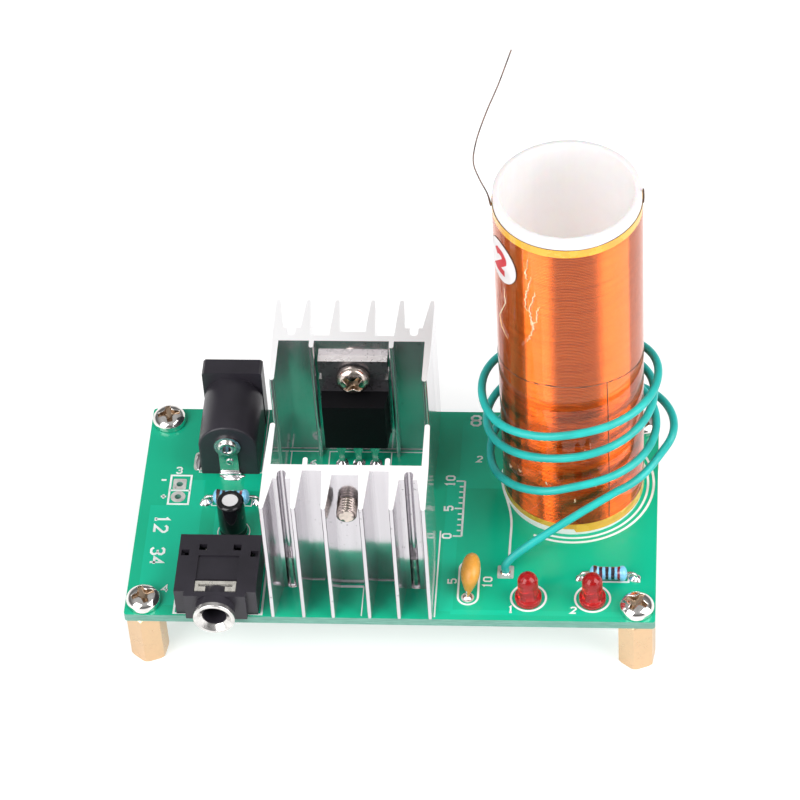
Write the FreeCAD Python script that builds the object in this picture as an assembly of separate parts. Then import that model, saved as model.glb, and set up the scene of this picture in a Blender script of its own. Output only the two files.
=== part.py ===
import FreeCAD, Part
import math
import os

from FreeCAD import Vector

# A small resonant transformer on a circuit board that stands on four posts.
# Millimetres. X runs along the board's long side, Y towards its rear, Z up.
# The origin lies on the surface that the posts stand on, midway between them.

# Circuit board
board_width = 77.5
board_depth = 41.5
board_thickness = 1.4
board_corner_radius = 0.5
board_hole_clearance = 0.15

# Posts and screws at the corners
post_inset_x = 2.70
post_inset_y = 2.60
post_length = 9.2
post_across_flats = 5.0
post_end_bevel = 0.25
post_turn_degrees = 22.0
post_core_radius = 1.25
screw_radius = 1.5
screw_end_clearance = 0.3
thread_clearance = 0.05
screw_head_radius = 2.55
screw_head_rim = 0.7
screw_head_height = 1.9
screw_crown_share = 0.78
board_screw_length = 6.4
driver_slot_width = 0.75
driver_slot_length = 2.9
driver_slot_depth = 1.1

# Leads and solder
lead_radius = 0.25
lead_hole_clearance = 0.12
solder_spread = 0.33
solder_tip_radius = 0.32
solder_cone_height = 0.8
solder_tip_height = 0.45
cut_overrun = 1.0
seat_clearance = 0.03
bend_reach_share = 0.45

# Extruded heat sinks, one behind each edge of the board
front_sink_x = -5.3
rear_sink_x = -6.28
front_sink_setback = 8.5
rear_sink_setback = 8.25
sink_height = 23.6
sink_half_width = 11.8
sink_wall_reach = 8.1
sink_wall_tip_inset = 0.25
sink_wall_thickness = 0.75
sink_wall_root = 1.0
sink_fin_reach = 8.55
sink_thin_web = 1.15
sink_middle_web = 1.95
sink_outer_web = 2.75
sink_fin_pitch = 4.29
sink_inner_fin_x = 2.66
sink_fin_root = 1.5
sink_fin_tip = 0.65
sink_outer_fin_root = 1.5
sink_stub_x = 5.9
sink_stub_width = 0.7
sink_stub_length = 1.4
sink_pin_radius = 0.6
sink_pin_clearance = 0.025
sink_pin_web = 1.18
sink_pin_grip = 6.0
sink_hole_height = 17.5
sink_slot_pitch_share = 1.5

# Power transistors in the sinks' channels
tab_width = 10.3
tab_thickness = 1.3
tab_top = 20.6
tab_hole_radius = 1.8
tab_notch_depth = 0.45
tab_notch_height = 1.3
transistor_body_width = 9.9
transistor_body_bottom = 5.3
transistor_body_top = 14.3
transistor_thickness = 4.5
transistor_draft = 0.3
transistor_lead_pitch = 2.54
transistor_lead_setback = 2.6
transistor_lead_thickness = 0.5
transistor_lead_width = 0.8
transistor_shoulder_width = 1.35
transistor_shoulder_height = 2.9
transistor_shoulder_slope = 0.5
transistor_screw_reach = 2.5

# Power socket at the rear edge
power_jack_inset = 13.12
power_jack_length = 13.4
power_flange_width = 9.05
power_flange_depth = 2.95
power_flange_height = 11.0
power_flange_bevel = 0.35
power_body_width = 8.8
power_body_shoulder = 6.2
power_body_top = 10.0
power_body_bevel = 0.3
power_axis_height = 6.2
power_bore_radius = 3.15
power_bore_depth = 9.6
power_bore_bevel = 0.4
power_pin_radius = 1.0
power_shank_radius = 0.75
power_pin_setback = 1.4
power_pin_taper = 0.45
rivet_radius = 1.35
rivet_height = 0.35
strap_thickness = 0.35
strap_disc_radius = 2.0
strap_width = 2.85
power_spring_width = 2.2
power_spring_thickness = 0.3
power_spring_root_depth = 8.3
power_spring_root_height = 1.75
power_spring_crest_depth = 4.15
power_spring_crest_height = 3.75
power_spring_crest_half = 0.7
power_spring_shoulder_share = 0.42
power_spring_tip_depth = 2.75
power_spring_tip_height = 2.75
spring_root_gap = 0.15
spring_side_gap = 0.3
sleeve_terminal_thickness = 0.35

# Audio socket at the front edge
audio_jack_inset = 13.78
audio_face_inset = 0.35
audio_width = 12.0
audio_length = 11.05
audio_height = 5.0
audio_nose_width = 9.0
audio_nose_length = 0.9
audio_axis_height = 2.5
audio_bore_radius = 2.0
audio_bore_length = 11.4
bushing_radius = 3.05
bushing_length = 2.3
bushing_bore_radius = 1.8
bushing_countersink = 0.55
bushing_neck_radius = 2.2
bushing_neck_length = 2.5
audio_window_width = 6.15
audio_window_length = 2.4
audio_panel_width = 6.0
audio_panel_start = 4.05
audio_panel_length = 4.55
audio_panel_depth = 0.25
audio_peg_hole = 1.15
audio_peg_hole_depth = 0.8
audio_peg_hole_shares = ((-0.419, 0.321), (-0.207, 0.222), (0.214, 0.222), (0.431, 0.33))
audio_chamber_inner = 1.2
audio_chamber_outer = 5.2
audio_chamber_top = 4.2
audio_chamber_start = 0.85
audio_chamber_length = 7.2
audio_spring_thickness = 0.25
audio_spring_low = 1.3
audio_spring_high = 3.7
audio_spring_root_x = 4.55
audio_spring_crest_x = 1.45
audio_spring_crest_half = 0.45
audio_spring_shoulder_share = 0.45
audio_spring_tail_x = 2.3
audio_spring_lever = 4.5
audio_spring_tail = 1.2
audio_tip_root_depth = 3.75
audio_ring_root_depth = 9.45
audio_terminal_width = 0.7
ground_clip_width = 6.0
ground_clip_thickness = 0.4
ground_clip_drop = 0.15
ground_bar_depth = 0.6
ground_strip_depth = 0.85
ground_clip_start = 2.1
ground_clip_gap = 0.45
ground_rail_width = 0.5
ground_leg_width = 0.9
ground_clip_notch = 2.9

# Empty two-hole supply outlet beside the power socket
supply_inset = 5.6
supply_setback = 3.535
supply_pitch = 2.54
supply_hole_radius = 0.5

# Resistors
left_resistor_inset = 13.85
left_resistor_row_share = 0.6557
right_resistor_inset = 6.95
right_resistor_setback = 8.27
resistor_length = 5.6
resistor_end_radius = 1.15
resistor_waist_radius = 0.98
resistor_cap_length = 1.35
resistor_slope_length = 0.4
resistor_crown = 0.5
resistor_crown_along_share = 0.29
resistor_crown_out_share = 0.72
resistor_axis_height = 1.2
resistor_pitch = 8.1
resistor_lead_bend = 0.7

# Small electrolytic capacitor
electrolytic_inset = 14.7
electrolytic_row_share = 0.2964
electrolytic_radius = 2.05
electrolytic_height = 7.2
electrolytic_sleeve_wall = 0.12
electrolytic_lip = 0.45
electrolytic_groove_height = 1.3
electrolytic_groove_depth = 0.22
electrolytic_groove_half = 0.3
electrolytic_pitch = 1.5
bung_radius = 1.5
bung_height = 0.5
bung_wall = 0.2

# Drop-shaped disc capacitor, set on edge
drop_gap_share = 0.524
drop_setback = 6.8
drop_pitch = 5.08
drop_half_width = 2.85
drop_half_height = 2.65
drop_half_thickness = 1.4
drop_centre_height = 4.25
drop_lean_degrees = 7.0
drop_skirt_radius = 0.55
drop_skirt_height = 1.5
drop_skirt_steepness_share = 3.0

# Two round indicator lamps
left_lamp_inset = 18.48
right_lamp_inset = 9.15
lamp_setback = 4.38
lamp_radius = 1.5
lamp_flange_radius = 1.95
lamp_flange_thickness = 0.9
lamp_base_height = 0.35
lamp_top_height = 5.6
lamp_pitch = 2.54

# Secondary coil
coil_edge_gap = 2.2
coil_depth_share = 0.1542
former_radius = 10.35
former_wall = 0.98
former_height = 59.85
winding_thickness = 0.13
winding_clearance = 0.03
top_bare_height = 1.6
top_tape_height = 1.3
bottom_bare_height = 1.3
bottom_tape_height = 1.0
tape_thickness = 0.1
fine_wire_radius = 0.1
label_radius = 3.6
label_height = 51.3
label_bearing_degrees = -150.6
label_thickness = 0.1
foot_wire_bearing_degrees = 120.0
foot_wire_gap = 1.75

# The secondary's top wire stands up freely. Each point of its route is a share of its whole rise:
# how far outwards from its start beside the upper tape, and how high above it.
top_wire_rise = 28.35
top_wire_route_shares = (
    (0.0, 0.0),
    (0.016, 0.079),
    (0.051, 0.175),
    (0.076, 0.279),
    (0.06, 0.411),
    (0.004, 0.605),
    (-0.06, 0.785),
    (-0.127, 1.0),
)

# Primary winding, anticlockwise from its right: the share of a turn that a station lies round the coil,
# its share of the tube's radius outwards and its share of the last turn's height upwards
primary_wire_radius = 0.6
primary_core_radius = 0.42
primary_top_height = 25.0
primary_station_shares = (
    (-0.153, 1.116, 0.396),
    (-0.061, 1.254, 0.44),
    (0.0, 1.44, 0.5),
    (0.25, 1.23, 0.36),
    (0.5, 1.179, 0.312),
    (0.75, 1.188, 0.52),
    (1.0, 1.19, 0.532),
    (1.25, 1.16, 0.54),
    (1.5, 1.213, 0.584),
    (1.75, 1.188, 0.776),
    (2.0, 1.159, 0.824),
    (2.25, 1.13, 0.744),
    (2.5, 1.251, 0.872),
    (2.75, 1.256, 1.0),
    (3.0, 1.217, 0.992),
    (3.25, 1.33, 0.84),
    (3.327, 1.517, 0.56),
)
primary_start_aside = 9.45
primary_start_setback = 9.25
primary_end_aside = 10.7
primary_end_setback = 2.25
primary_stand_off = 0.3
primary_climb_run = 2.1
primary_climb_rise = 1.8
least_gap_samples = 16
straight_share = 0.000001

# Heights that everything is set on
board_bottom = post_length
board_top = board_bottom + board_thickness
post_bore_radius = screw_radius + thread_clearance

# Places on the board, from its edges and from what stands beside them
left_edge_x = -board_width / 2
right_edge_x = board_width / 2
front_edge_y = -board_depth / 2
rear_edge_y = board_depth / 2
front_sink_face_y = front_edge_y + front_sink_setback
rear_sink_face_y = rear_edge_y - rear_sink_setback
power_jack_x = left_edge_x + power_jack_inset
power_face_y = rear_edge_y
power_rear_y = power_face_y - power_jack_length
power_spring_root_y = power_face_y - power_spring_root_depth
power_spring_crest_y = power_face_y - power_spring_crest_depth
power_spring_tip_y = power_face_y - power_spring_tip_depth
audio_jack_x = left_edge_x + audio_jack_inset
audio_face_y = front_edge_y + audio_face_inset
audio_rear_y = audio_face_y + audio_length
audio_nose_y = audio_face_y - audio_nose_length
audio_tip_root_y = audio_face_y + audio_tip_root_depth
audio_ring_root_y = audio_face_y + audio_ring_root_depth
supply_x = left_edge_x + supply_inset
supply_y = power_rear_y - supply_setback
left_row_depth = power_rear_y - audio_rear_y
left_resistor_x = left_edge_x + left_resistor_inset
left_resistor_y = audio_rear_y + left_row_depth * left_resistor_row_share
electrolytic_x = left_edge_x + electrolytic_inset
electrolytic_y = audio_rear_y + left_row_depth * electrolytic_row_share
right_resistor_x = right_edge_x - right_resistor_inset
right_resistor_y = front_edge_y + right_resistor_setback
coil_x = right_edge_x - coil_edge_gap - former_radius
coil_y = board_depth * coil_depth_share
foot_wire_reach = former_radius + foot_wire_gap
sink_side_x = front_sink_x + sink_half_width
drop_x = sink_side_x + (coil_x - former_radius - sink_side_x) * drop_gap_share
drop_y = front_edge_y + drop_setback
left_lamp_x = right_edge_x - left_lamp_inset
right_lamp_x = right_edge_x - right_lamp_inset
lamp_y = front_edge_y + lamp_setback
primary_start_x = coil_x - primary_start_aside
primary_start_y = front_edge_y + primary_start_setback
primary_end_x = coil_x - primary_end_aside
primary_end_y = rear_edge_y - primary_end_setback

# Radii and heights of what is wound on the coil
winding_radius = former_radius + winding_clearance + winding_thickness
tape_radius = former_radius + winding_clearance + tape_thickness
winding_bottom = board_top + bottom_bare_height + bottom_tape_height
winding_top = board_top + former_height - top_bare_height - top_tape_height

# Directions
right = Vector(1, 0, 0)
rearward = Vector(0, 1, 0)
up = Vector(0, 0, 1)
full_turn = 360


# Wire through a list of steps: a point ends a straight run, and a pair of points is an arc's middle and end.
def outline(steps, place):
    edges = []
    here = place(*steps[0])
    for step in list(steps[1:]) + [steps[0]]:
        curved = isinstance(step[0], tuple)
        there = place(*step[1]) if curved else place(*step)
        if curved:
            edges.append(Part.Arc(here, place(*step[0]), there).toShape())
        elif not here.isEqual(there, 0):
            edges.append(Part.LineSegment(here, there).toShape())
        here = there
    return Part.Wire(edges)


def turned(steps, foot, axis=up, outward=right):
    wire = outline(steps, lambda reach, along: foot + outward * reach + axis * along)
    return Part.Face(wire).revolve(foot, axis, full_turn)


def extruded(steps, place, run):
    return Part.Face(outline(steps, place)).extrude(run)


def block(low, high):
    return Part.makeBox(high[0] - low[0], high[1] - low[1], high[2] - low[2], Vector(*low))


def rod(foot, axis, radius, length):
    return Part.makeCylinder(radius, length, foot, axis)


# One rod up from the board's underside at each place.
def upright_rods(places, radius, length):
    return Part.makeCompound([rod(Vector(x, y, board_bottom), up, radius, length) for x, y in places])


def joined(shapes):
    return shapes[0].fuse(shapes[1:]).removeSplitter()


# Straight runs joined by tangent arcs: each arc takes up to this much of the shorter run beside it.
def rounded_path(points, setback):
    edges = []
    here = points[0]
    for before, corner, after in zip(points, points[1:], points[2:]):
        arriving = (corner - before).normalize()
        leaving = (after - corner).normalize()
        reach = setback(corner.distanceToPoint(before), corner.distanceToPoint(after))
        start = corner - arriving * reach
        end = corner + leaving * reach
        half_turn = arriving.getAngle(leaving) / 2
        radius = reach / math.tan(half_turn)
        inward = (leaving - arriving).normalize()
        centre = corner + inward * (radius / math.cos(half_turn))
        edges.append(Part.LineSegment(here, start).toShape())
        edges.append(Part.Arc(start, centre - inward * radius, end).toShape())
        here = end
    edges.append(Part.LineSegment(here, points[-1]).toShape())
    return edges


# How far from a corner of a loose wire its arc starts and ends.
def even_bends(before, after):
    return min(before, after) * bend_reach_share


def wire_along(edges, radius):
    start = edges[0].valueAt(edges[0].FirstParameter)
    heading = edges[0].tangentAt(edges[0].FirstParameter)
    section = Part.Wire([Part.Circle(start, heading, radius).toShape()])
    return Part.Wire(edges).makePipeShell([section], True, False)


def corner_places():
    x = board_width / 2 - post_inset_x
    y = board_depth / 2 - post_inset_y
    return [(side * x, end * y) for side in (-1, 1) for end in (-1, 1)]


def pair_along_x(x, y, pitch):
    return [(x - pitch / 2, y), (x + pitch / 2, y)]


def pair_along_y(x, y, pitch):
    return [(x, y - pitch / 2), (x, y + pitch / 2)]


def resistor_places():
    left = pair_along_x(left_resistor_x, left_resistor_y, resistor_pitch)
    return left + pair_along_x(right_resistor_x, right_resistor_y, resistor_pitch)


def lamp_places():
    return pair_along_x(left_lamp_x, lamp_y, lamp_pitch) + pair_along_x(right_lamp_x, lamp_y, lamp_pitch)


def sinks():
    return [(front_sink_x, front_sink_face_y, 1), (rear_sink_x, rear_sink_face_y, -1)]


def sink_pin_places():
    places = []
    slot_x = sink_inner_fin_x + sink_fin_pitch * sink_slot_pitch_share
    for x, face_y, facing in sinks():
        y = face_y - facing * (sink_pin_web + sink_pin_radius + sink_pin_clearance)
        places += [(x - slot_x, y), (x + slot_x, y)]
    return places


def transistor_lead_places():
    places = []
    for x, face_y, facing in sinks():
        y = face_y + facing * transistor_lead_setback
        places += [(x + step * transistor_lead_pitch, y) for step in (-1, 0, 1)]
    return places


def primary_places():
    return [(primary_start_x, primary_start_y), (primary_end_x, primary_end_y)]


def foot_wire_place():
    bearing = math.radians(foot_wire_bearing_degrees)
    return (coil_x + foot_wire_reach * math.cos(bearing), coil_y + foot_wire_reach * math.sin(bearing))


# Every round hole that a lead is soldered in, with its radius.
def soldered_holes():
    thin = lead_radius + lead_hole_clearance
    broad = math.hypot(transistor_lead_width, transistor_lead_thickness) / 2 + lead_hole_clearance
    holes = [(place, thin) for place in resistor_places() + lamp_places()]
    holes += [(place, thin) for place in pair_along_x(electrolytic_x, electrolytic_y, electrolytic_pitch)]
    holes += [(place, thin) for place in pair_along_y(drop_x, drop_y, drop_pitch)]
    holes += [(place, broad) for place in transistor_lead_places()]
    holes += [(place, sink_pin_radius + lead_hole_clearance) for place in sink_pin_places()]
    holes += [(place, primary_core_radius + lead_hole_clearance) for place in primary_places()]
    holes.append((foot_wire_place(), fine_wire_radius + lead_hole_clearance))
    return holes


# Every flat terminal that passes through the board: its centre, width along X and width along Y.
def blades():
    side = audio_chamber_outer - audio_terminal_width / 2
    leg_x = ground_clip_width / 2
    leg_y = audio_face_y + audio_window_length - ground_clip_start + ground_leg_width / 2
    flat = audio_terminal_width
    return [
        ((power_jack_x, power_rear_y - strap_thickness / 2), strap_width, strap_thickness),
        ((power_jack_x, sleeve_terminal_y()), power_spring_width, sleeve_terminal_thickness),
        ((audio_jack_x - side, audio_tip_root_y), flat, audio_terminal_width),
        ((audio_jack_x + side, audio_ring_root_y), flat, audio_terminal_width),
        ((audio_jack_x - leg_x + ground_clip_thickness / 2, leg_y), ground_clip_thickness, ground_leg_width),
        ((audio_jack_x + leg_x - ground_clip_thickness / 2, leg_y), ground_clip_thickness, ground_leg_width),
    ]


def sleeve_terminal_y():
    return power_spring_root_y - spring_root_gap - sleeve_terminal_thickness / 2


def circuit_board():
    half_x = board_width / 2
    half_y = board_depth / 2
    board = block((-half_x, -half_y, board_bottom), (half_x, half_y, board_top))
    uprights = [edge for edge in board.Edges if edge.BoundBox.ZLength > edge.BoundBox.DiagonalLength / 2]
    board = board.makeFillet(board_corner_radius, uprights)
    drilled = [(place, screw_radius + board_hole_clearance) for place in corner_places()]
    drilled += [(place, supply_hole_radius) for place in pair_along_y(supply_x, supply_y, supply_pitch)]
    depth = board_thickness + 2 * cut_overrun
    tools = []
    for (x, y), radius in drilled + soldered_holes():
        tools.append(rod(Vector(x, y, board_bottom - cut_overrun), up, radius, depth))
    for (x, y), width, breadth in blades():
        reach_x = width / 2 + lead_hole_clearance
        reach_y = breadth / 2 + lead_hole_clearance
        low = (x - reach_x, y - reach_y, board_bottom - cut_overrun)
        tools.append(block(low, (x + reach_x, y + reach_y, board_top + cut_overrun)))
    return board.cut(tools)


def solder_joint(x, y, foot_radius):
    waist = -solder_cone_height
    steps = [
        (0, 0),
        (foot_radius, 0),
        (solder_tip_radius, waist),
        (solder_tip_radius, waist - solder_tip_height),
        (0, waist - solder_tip_height),
    ]
    return turned(steps, Vector(x, y, board_bottom))


def solder_joints():
    joints = [solder_joint(x, y, radius + solder_spread) for (x, y), radius in soldered_holes()]
    for (x, y), width, breadth in blades():
        reach = math.hypot(width, breadth) / 2 + lead_hole_clearance
        joints.append(solder_joint(x, y, reach + solder_spread))
    return Part.makeCompound(joints)


def board_post(x, y):
    corner_reach = post_across_flats / math.sqrt(3)
    corners = []
    for index in range(6):
        angle = math.radians(post_turn_degrees + index * full_turn / 6)
        corners.append((corner_reach * math.cos(angle), corner_reach * math.sin(angle)))
    post = extruded(corners, lambda a, b: Vector(x + a, y + b, 0), up * post_length)
    envelope = turned([
        (0, 0),
        (corner_reach - post_end_bevel, 0),
        (corner_reach, post_end_bevel),
        (corner_reach, post_length - post_end_bevel),
        (corner_reach - post_end_bevel, post_length),
        (0, post_length),
    ], Vector(x, y, 0))
    core = rod(Vector(x, y, -cut_overrun), up, post_core_radius, post_length)
    low = board_top - board_screw_length - screw_end_clearance
    bore = rod(Vector(x, y, low), up, post_bore_radius, post_length - low + cut_overrun)
    return post.common(envelope).cut([core, bore])


def board_posts():
    return Part.makeCompound([board_post(x, y) for x, y in corner_places()])


# Pan head with a cross slot; the seat is the plane under the head, and the shank runs against the axis.
def pan_screw(seat, axis, outward, shank_length):
    crown = screw_head_radius * math.sin(math.radians(45))
    crown_height = screw_head_rim + (screw_head_height - screw_head_rim) * screw_crown_share
    steps = [
        (0, -shank_length),
        (screw_radius, -shank_length),
        (screw_radius, 0),
        (screw_head_radius, 0),
        (screw_head_radius, screw_head_rim),
        ((crown, crown_height), (0, screw_head_height)),
    ]
    screw = turned(steps, seat, axis, outward)
    across = axis.cross(outward)
    middle = seat + axis * (screw_head_height - driver_slot_depth / 2 + cut_overrun / 2)
    slots = []
    for along, aside in ((outward, across), (across, outward)):
        half_depth = axis * ((driver_slot_depth + cut_overrun) / 2)
        half_long = along * (driver_slot_length / 2)
        half_wide = aside * (driver_slot_width / 2)
        low = middle - half_depth
        base = [low + half_long * a + half_wide * b for a, b in ((-1, -1), (1, -1), (1, 1), (-1, 1))]
        slots.append(Part.Face(Part.makePolygon(base + base[:1])).extrude(half_depth * 2))
    return screw.cut(slots)


def board_screws():
    screws = []
    for x, y in corner_places():
        screws.append(pan_screw(Vector(x, y, board_top), up, right, board_screw_length))
    return Part.makeCompound(screws)


# One fin's outline from its outer root round the rounded tip to its inner root.
def fin_steps(centre, outer_root, inner_root, outer_web, inner_web):
    half = sink_fin_tip / 2
    shoulder = half - sink_fin_reach
    return [
        (outer_root, -outer_web),
        (centre + half, shoulder),
        ((centre, -sink_fin_reach), (centre - half, shoulder)),
        (inner_root, -inner_web),
    ]


# Right half of the sink's section: u to the right of its middle, v from the channel's floor to the wall tips.
def sink_half_steps():
    stub_half = sink_stub_width / 2
    stub_shoulder = sink_stub_length - stub_half
    wall_tip_x = sink_half_width - sink_wall_tip_inset
    wall_half = sink_wall_thickness / 2
    wall_shoulder = sink_wall_reach - wall_half
    half_root = sink_fin_root / 2
    inner = sink_inner_fin_x
    second = inner + sink_fin_pitch
    outer = sink_half_width - sink_fin_tip / 2
    slot_x = inner + sink_fin_pitch * sink_slot_pitch_share
    slot_half = sink_pin_radius + sink_pin_clearance
    steps = [
        (0, 0),
        (sink_stub_x - stub_half, 0),
        (sink_stub_x - stub_half, stub_shoulder),
        ((sink_stub_x, sink_stub_length), (sink_stub_x + stub_half, stub_shoulder)),
        (sink_stub_x + stub_half, 0),
        (sink_half_width - sink_wall_root, 0),
        (wall_tip_x - sink_wall_thickness, wall_shoulder),
        ((wall_tip_x - wall_half, sink_wall_reach), (wall_tip_x, wall_shoulder)),
        (sink_half_width, 0),
    ]
    outer_root = sink_half_width - sink_outer_fin_root
    steps += fin_steps(outer, sink_half_width, outer_root, sink_outer_web, sink_outer_web)
    steps += [
        (slot_x + slot_half, -sink_outer_web),
        (slot_x + slot_half, -sink_pin_web - slot_half),
        ((slot_x, -sink_pin_web), (slot_x - slot_half, -sink_pin_web - slot_half)),
        (slot_x - slot_half, -sink_outer_web),
    ]
    steps += fin_steps(second, second + half_root, second - half_root, sink_outer_web, sink_thin_web)
    steps += fin_steps(inner, inner + half_root, inner - half_root, sink_thin_web, sink_middle_web)
    steps.append((0, -sink_middle_web))
    return steps


def heat_sink(x, face_y, facing):
    half = extruded(sink_half_steps(), lambda u, v: Vector(x + u, face_y + facing * v, board_top),
                    up * sink_height)
    sink = joined([half, half.mirror(Vector(x, face_y, board_top), right)])
    reach = sink_middle_web + 2 * cut_overrun
    foot = Vector(x, face_y + facing * cut_overrun, board_top + sink_hole_height)
    return sink.cut(rod(foot, rearward * -facing, post_bore_radius, reach))


def heat_sink_pins():
    length = board_thickness + sink_pin_grip
    return upright_rods(sink_pin_places(), sink_pin_radius, length)


def transistor_tab(x, face_y, facing):
    half = tab_width / 2
    low = board_top + transistor_body_bottom
    hole = board_top + sink_hole_height
    notch_low = hole - tab_notch_height / 2
    notch_high = hole + tab_notch_height / 2
    high = board_top + tab_top
    right_side = [
        (half, low),
        (half, notch_low),
        (half - tab_notch_depth, notch_low),
        (half - tab_notch_depth, notch_high),
        (half, notch_high),
        (half, high),
    ]
    steps = right_side + [(-u, z) for u, z in reversed(right_side)]
    tab = extruded(steps, lambda u, z: Vector(x + u, face_y, z), rearward * (facing * tab_thickness))
    depth = tab_thickness + 2 * cut_overrun
    foot = Vector(x, face_y - facing * cut_overrun, hole)
    return tab.cut(rod(foot, rearward * facing, tab_hole_radius, depth))


# Moulded body with draft on its sides and top, behind which the metal tab lies.
def transistor_body(x, face_y, facing):
    def section(setback, draft):
        half = transistor_body_width / 2 - draft
        low = board_top + transistor_body_bottom
        high = board_top + transistor_body_top - draft
        y = face_y + facing * setback
        feet = [Vector(x - half, y, low), Vector(x + half, y, low)]
        heads = [Vector(x + half, y, high), Vector(x - half, y, high)]
        return Part.makePolygon(feet + heads + feet[:1])

    ends = [section(tab_thickness, 0), section(transistor_thickness, transistor_draft)]
    return Part.makeLoft(ends, True, True)


def transistor_leads():
    slope_end = transistor_shoulder_height - transistor_shoulder_slope
    narrow = transistor_lead_width / 2
    wide = transistor_shoulder_width / 2
    right_side = [
        (narrow, board_bottom),
        (narrow, board_top + slope_end),
        (wide, board_top + transistor_shoulder_height),
        (wide, board_top + transistor_body_bottom),
    ]
    steps = right_side + [(-u, z) for u, z in reversed(right_side)]
    leads = []
    for x, y in transistor_lead_places():
        near = y - transistor_lead_thickness / 2
        leads.append(extruded(steps, lambda u, z: Vector(x + u, near, z),
                              rearward * transistor_lead_thickness))
    return Part.makeCompound(leads)


def transistor_screws():
    screws = []
    for x, face_y, facing in sinks():
        seat = Vector(x, face_y + facing * tab_thickness, board_top + sink_hole_height)
        length = tab_thickness + sink_middle_web + transistor_screw_reach
        screws.append(pan_screw(seat, rearward * facing, right, length))
    return Part.makeCompound(screws)


# Socket body with a rounded back, a square flange, the plug's bore and a slot under it for the sleeve spring.
def power_jack_housing():
    half = power_body_width / 2
    arch = [
        (-half, 0),
        (half, 0),
        (half, power_body_shoulder),
        ((0, power_body_top), (-half, power_body_shoulder)),
    ]
    flange_y = power_face_y - power_flange_depth
    body = extruded(arch, lambda u, z: Vector(power_jack_x + u, power_rear_y, board_top + z),
                    rearward * (flange_y - power_rear_y))
    ends = [edge for edge in body.Edges
            if edge.BoundBox.YMax < flange_y and edge.BoundBox.ZMax > board_top + power_body_bevel]
    body = body.makeFillet(power_body_bevel, ends)
    flange_half = power_flange_width / 2
    bevel = power_flange_bevel
    plate = [
        (-flange_half, 0),
        (flange_half, 0),
        (flange_half, power_flange_height - bevel),
        (flange_half - bevel, power_flange_height),
        (bevel - flange_half, power_flange_height),
        (-flange_half, power_flange_height - bevel),
    ]
    flange = extruded(plate, lambda u, z: Vector(power_jack_x + u, flange_y, board_top + z),
                      rearward * power_flange_depth)
    centre = Vector(power_jack_x, power_face_y, board_top + power_axis_height)
    mouth = power_bore_radius + power_bore_bevel
    bore = turned([
        (0, -power_bore_depth),
        (power_bore_radius, -power_bore_depth),
        (power_bore_radius, -power_bore_bevel),
        (mouth, 0),
        (mouth, cut_overrun),
        (0, cut_overrun),
    ], centre, rearward)
    pin_hole = rod(centre - rearward * (power_jack_length + cut_overrun), rearward,
                   power_shank_radius + seat_clearance, power_jack_length)
    slot_half = power_spring_width / 2 + spring_side_gap
    slot_front = sleeve_terminal_y() - sleeve_terminal_thickness / 2
    slot = block(
        (power_jack_x - slot_half, slot_front, board_top - cut_overrun),
        (power_jack_x + slot_half, power_spring_tip_y + spring_side_gap * 2, board_top + power_axis_height),
    )
    return joined([body, flange]).cut([bore, pin_hole, slot])


def power_jack_pin():
    centre = Vector(power_jack_x, power_rear_y, board_top + power_axis_height)
    rivet_end = -strap_thickness - rivet_height
    tip = power_jack_length - power_pin_setback
    steps = [
        (0, rivet_end),
        (power_shank_radius, rivet_end),
        (rivet_radius, -strap_thickness - rivet_height / 2),
        (rivet_radius, -strap_thickness),
        (power_shank_radius, -strap_thickness),
        (power_shank_radius, power_jack_length - power_bore_depth),
        (power_pin_radius, power_jack_length - power_bore_depth),
        (power_pin_radius, tip - power_pin_taper),
        (power_pin_radius - power_pin_taper, tip),
        (0, tip),
    ]
    return turned(steps, centre, rearward)


# Strap behind the socket: a disc round the rivet, with a tail down through the board.
def power_jack_rear_terminal():
    near = power_rear_y - strap_thickness
    axis_z = board_top + power_axis_height
    half = strap_width / 2
    disc = rod(Vector(power_jack_x, near, axis_z), rearward, strap_disc_radius, strap_thickness)
    tail = block((power_jack_x - half, near, board_bottom), (power_jack_x + half, power_rear_y, axis_z))
    eye = rod(Vector(power_jack_x, near - cut_overrun, axis_z), rearward,
              power_shank_radius + seat_clearance, strap_thickness + 2 * cut_overrun)
    return joined([disc, tail]).cut(eye)


def power_jack_sleeve_terminal():
    half = power_spring_width / 2
    reach = sleeve_terminal_thickness / 2
    y = sleeve_terminal_y()
    top = board_top + power_spring_root_height + power_spring_thickness / 2
    return block((power_jack_x - half, y - reach, board_bottom), (power_jack_x + half, y + reach, top))


# Sleeve spring: rises from its root to a rounded crest that the plug presses down, and falls to its free end.
def power_jack_sleeve_spring():
    thick = power_spring_thickness
    root = board_top + power_spring_root_height - thick / 2
    crest = board_top + power_spring_crest_height
    tip = board_top + power_spring_tip_height
    flat_end = power_spring_root_y + thick
    rise_end = power_spring_crest_y - power_spring_crest_half
    fall_start = power_spring_crest_y + power_spring_crest_half
    shoulder = crest - power_spring_crest_half * power_spring_shoulder_share
    steps = [
        (power_spring_root_y, root),
        (flat_end, root),
        (rise_end, shoulder - thick),
        ((power_spring_crest_y, crest - thick), (fall_start, shoulder - thick)),
        (power_spring_tip_y, tip - thick),
        (power_spring_tip_y, tip),
        (fall_start, shoulder),
        ((power_spring_crest_y, crest), (rise_end, shoulder)),
        (flat_end, root + thick),
        (power_spring_root_y, root + thick),
    ]
    left = power_jack_x - power_spring_width / 2
    return extruded(steps, lambda y, z: Vector(left, y, z), right * power_spring_width)


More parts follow.
